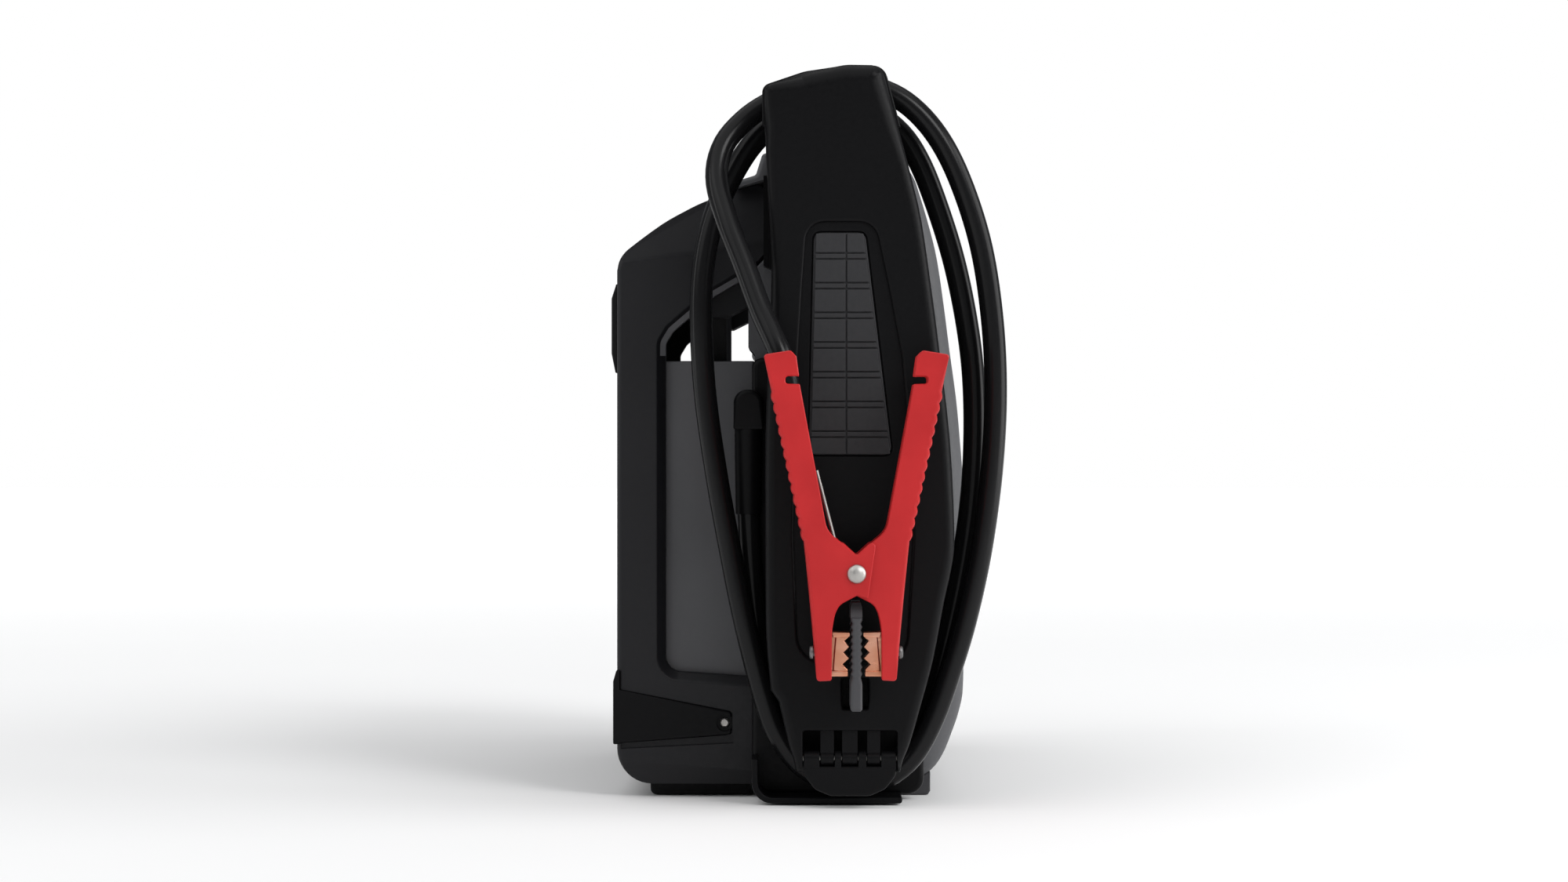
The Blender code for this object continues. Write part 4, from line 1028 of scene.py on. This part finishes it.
def make_controls():
    obj, low, high = face_plate("gauge_lens", "gauge_window", 1.2, 4, 0.2, 0.8)
    middles = [low.y + 7 + k * (high.y - low.y - 14) / 4 for k in range(5)]
    bars = [rounded(rect(y - 3.4, low.z + 3.4, y + 3.4, high.z - 3.4), 1, 3) for y in middles]
    carve(obj, *(("cut", prism(bar, "X", high.x - 0.5, high.x + 2)) for bar in bars))
    dress(obj, "lens", "gauge_lens")
    low, high = corners("test_button")
    crown = [(1.4, 7.1), (0.7, 6.9), (0.2, 6.2), (0.1, 5.2), (0.5, 4.0), (0.8, 2.0), (0.9, 0.0)]
    cap = [(low.x, 7.1)] + [(high.x - deep, radius) for deep, radius in crown]
    obj = raw(turned(cap, "X", x_centre("test_button"), 48), "test_key")
    dress(obj, "button", "test_button", body="button")
    low, high = corners("power_switch")
    middle = (low.z + high.z) / 2
    side = [(low.x, low.z), (93.3, low.z)] + flowing([
        (93.4, low.z + 0.4), (93.0, middle - 3), (93.3, middle + 2), (94.9, high.z - 0.6)], 4) + [
        (94.6, high.z), (low.x, high.z)]
    obj = raw(soft_prism(side, "Y", low.y, high.y, 0.6, 0.6, 3), "rocker_key")
    dress(obj, "rubber", "power_switch", body="rocker", slot_name="black_plastic")


def make_caps():
    obj, low, high = face_plate("dc_socket_cap", "outlet_cap_cover", [12, 12, 3, 3], 8, 0.3, 0.8)
    middle = (0, (low.y + high.y) / 2, low.z + 14)
    ring = rod("X", high.x - 0.5, high.x + 2, 9.4, middle, 48)
    island = turned([(high.x - 0.5, 8.2), (high.x - 0.05, 7.9)], "X", middle, 48)
    lip = block((high.x - 1.2, middle[1] - 5, low.z + 0.6), (high.x + 1, middle[1] + 5, low.z + 2.2), 0.3)
    carve(obj, ("cut", ring), ("add", island), ("cut", lip))
    dress(obj, "rubber", "dc_socket_cap", body="outlet_cap")
    obj, low, high = face_plate("charge_port_cover", "charge_cover", 2.5, 5, 0.3, 0.8)
    inset = rounded(rect(low.y + 3, low.z + 4, high.y - 3, high.z - 4), 1.5, 4)
    carve(obj, ("cut", prism(inset, "X", high.x - 0.4, high.x + 2)))
    dress(obj, "rubber", "charge_port_cover", body="port_cover")


# ---- clamp
def scalloped(start, stop, bumps, depth, per=6):
    """A straight edge with shallow bumps bulging to the left of its direction."""
    a, b = Vector(start), Vector(stop)
    along = b - a
    side = Vector((along.y, -along.x)).normalized()
    out = []
    for k in range(bumps * per):
        t = k / (bumps * per)
        out.append(tuple(a + along * t + side * (depth * abs(math.sin(math.pi * t * bumps)))))
    return out + [tuple(b)]


def arm_outline():
    """Left arm round its rivet, with the edge radius of each point."""
    handle = rounded([(-43.3, 92.5), (-47.3, 111.4), (-33.5, 113.6), (-30.6, 110.5), (-29.2, 100.4),
                      (-36.2, 100.4), (-36.2, 96.6), (-28.9, 96.4), (-15, 21.8)],
                     [0, 1.5, 2, 1.4, 0.6, 1.4, 1.4, 0.6, 0], 4)[1:-1]
    notch = rounded([(-28.9, 96.4), (-15, 21.8), (0, 9.5), (10.4, 19), (5.8, -12.9), (0, -11.2)],
                    [0, 12, 1.2, 2, 1, 0], 5)[1:-1]
    arch = flowing([(0, -11.2), (-4.1, -13.3), (-8.3, -15.8), (-10.6, -19.6), (-11.7, -23.8),
                    (-12.5, -28.9)], 3)
    foot = rounded([arch[-1], (-12.7, -54.2), (-20.3, -54.6), (-21.7, -37.3)], [0, 1.2, 1.8, 0], 4)[1:-1]
    cheek = flowing([(-21.7, -37.3), (-24.2, -10), (-26.9, 16.5)], 4)[:-1]
    grip = scalloped((-26.9, 16.5), (-43.3, 92.5), 13, -0.9)
    plain, folded = handle + notch + arch + foot, cheek + grip
    return plain + folded, [0.5] * len(plain) + [2.0] * len(folded)


INSIDE = [(-52, 130), (-20, 130), (-11, 60), (20, 40), (20, -30), (-8, -32), (-8, -70), (-17, -70),
          (-18.3, -54.6), (-19.7, -37.3), (-24.9, 16.2), (-41.3, 92.3), (-46.5, 116)]


def at_pivot(points, side):
    return [(PIVOT[0] + side * dx, PIVOT[1] + dz) for dx, dz in points]


def bolt_hole(side, first, second):
    """Hole for a jaw bolt, between two distances from the rivet."""
    low, high = sorted((PIVOT[0] - side * first, PIVOT[0] - side * second))
    return ("cut", rod("X", low, high, JAW_BOLT_HOLE, JAW_BOLT, 24))


def make_arm(side, name, half, body):
    low, high = CLAMP_Y - half, CLAMP_Y + half
    points, radii = arm_outline()
    obj = raw(soft_prism(at_pivot(points, side), "Y", low, high, radii, radii, 2), f"clamp_shell_{name}")
    carve(obj, ("cut", prism(at_pivot(INSIDE, side), "Y", low + SHEET, high - SHEET)),
          ("cut", rod("Y", low - 2, high + 2, 3.3, (PIVOT[0], 0, PIVOT[1]), 28)), bolt_hole(side, 30, 15))
    dress(obj, "red", f"clamp_arm_{name}", body=body)


def make_jaw(side, name, body):
    """Copper jaw: a toothed, folded body between a flared lip and a foot plate."""
    toothed = [(-10.8, -31.5), (-3.7, -31.5), (-3.9, -32.4), (-5.9, -34.4), (-3.5, -37.4), (-6.4, -40.2),
               (-3.5, -43.2), (-6.9, -46.2), (-4.4, -48.8), (-4.4, -50), (-12.3, -50)]
    lip = rounded([(-12.9, -29.8), (-3.3, -30.1), (-3.4, -32.2), (-12.2, -32.6)], 0.5, 2)
    plate = rounded([(-16, -49.6), (-4.3, -49.6), (-4.3, -52.4), (-16, -52.4)], 0.6, 2)
    back = [(-17.2, -30.4), (-10, -30.4), (-11, -51.5), (-16.2, -51.5)]

    def slab(points, half, radius):
        return soft_prism(at_pivot(points, side), "Y", CLAMP_Y - half, CLAMP_Y + half, radius, radius, 3)

    obj = raw(slab(toothed, 7.4, 0.9), f"copper_jaw_{name}")
    carve(obj, ("add", slab(lip, 8.2, 0.6)), ("add", slab(plate, 8.2, 0.7)), ("add", slab(back, 6.2, 0.5)),
          bolt_hole(side, 19, 10))
    dress(obj, "copper", f"clamp_jaw_{name}", body=body)
    marks = [(-24.0, 1.6), (-23.9, 2.4), (-23.4, 3.2), (-22.8, 3.4), (-22.1, 3.4), (-22.0, 2.0),
             (-10.4, 2.0)]
    profile = [(PIVOT[0] + side * dx, r) for dx, r in marks]
    obj = raw(turned(profile, "X", JAW_BOLT, 28), f"jaw_screw_{name}")
    dress(obj, "bolt", f"jaw_bolt_{name}", body=body)


def make_rivet():
    low, high = RIVET_LOW.y, RIVET_HIGH.y
    dome = [(0.0, 0.0), (0.1, 1.6), (0.5, 3.0), (1.2, 4.2), (1.9, 4.7), (2.4, 4.8)]
    profile = [(low + a, r) for a, r in dome] + [(low + 2.4, 3.0), (high - 2.4, 3.0)]
    profile += [(high - a, r) for a, r in reversed(dome)]
    dress(raw(turned(profile, "Y", (PIVOT[0], 0, PIVOT[1]), 40), "pivot_rivet"), "steel", "clamp_rivet")


def make_spring():
    """Torsion spring in two pieces, so that its second leg moves with the moving arm."""
    low, high = corners("clamp_spring")
    wire, radius, turns, count = 1.0, 8.0, 3, 96
    start = math.radians(160)
    sweep = turns * 2 * math.pi - math.radians(140)
    y0, y1 = low.y + wire, high.y - wire

    def point(dx, y, dz):
        return Vector((PIVOT[0] + dx, y, PIVOT[1] + dz))

    coil = []
    for k in range(count + 1):
        angle = start + sweep * k / count
        coil.append(point(radius * math.cos(angle), y0 + (y1 - y0) * k / count, radius * math.sin(angle)))
    left = [point(-20.3, y0, 52.5), point(-11.2, y0, 17.5)]
    right = [coil[-1], point(18, y1, 21), point(24.6, y1, 51.5)]
    tube("spring_coil", left + coil, wire, "steel", "clamp_spring", resolution=3)
    tube("spring_leg", right, wire, "steel", body="clamp_moving_arm", resolution=3)


def make_clamp():
    sides = ((1, "left", CLAMP_HALF, "root"), (-1, "right", INNER_HALF, "clamp_moving_arm"))
    for side, name, half, body in sides:
        make_arm(side, name, half, body)
    for side, name, _, body in sides:
        make_jaw(side, name, body)
    make_rivet()
    make_spring()


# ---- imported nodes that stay
KEPT = {
    "case": ["battery"], "board": ["control_board"], "plate": ["main_fuse", "charge_port"],
    "cable": ["positive_lead", "negative_lead"], "copper": ["cable_crimp"],
    "steel": ["battery_strap", "dc_socket"] + [f"case_screw_{k}" for k in range(1, 5)]
             + [f"{kind}_{name}" for kind in ("guard_screw", "flap_pin") for name in ENDS.values()],
}


def dress_kept_nodes():
    for mat, nodes in KEPT.items():
        for obj in (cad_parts[node] for node in nodes):
            obj.data.materials.clear()
            obj.data.materials.append(MATS[mat])
            obj.modifiers.new("weld", "WELD").merge_threshold = 0.00002
            edge = obj.modifiers.new("soft_edges", "BEVEL")
            edge.width = 0.0003
            edge.segments = 2
            edge.limit_method = "ANGLE"
            edge.angle_limit = math.radians(40)


# ---- assembly
def main():
    make_camera()
    cable, exit_point, length = make_cable()
    make_world()
    make_lights()
    make_floor()
    make_rear_shell()
    make_front_shell()
    for end, name in ENDS.items():
        for make in (make_holster, make_grip_pad, make_post, make_flap, make_outlet_hood, make_end_panel,
                     make_guard, make_rear_pad, make_feet):
            make(end, name)
    make_handle()
    make_panel()
    make_controls()
    make_caps()
    make_clamp()
    dress_kept_nodes()
    clamp_pieces = ["cable_crimp", "pivot_rivet", "spring_coil", "spring_leg"]
    for side in ("left", "right"):
        clamp_pieces += [f"clamp_shell_{side}", f"copper_jaw_{side}", f"jaw_screw_{side}"]


main()
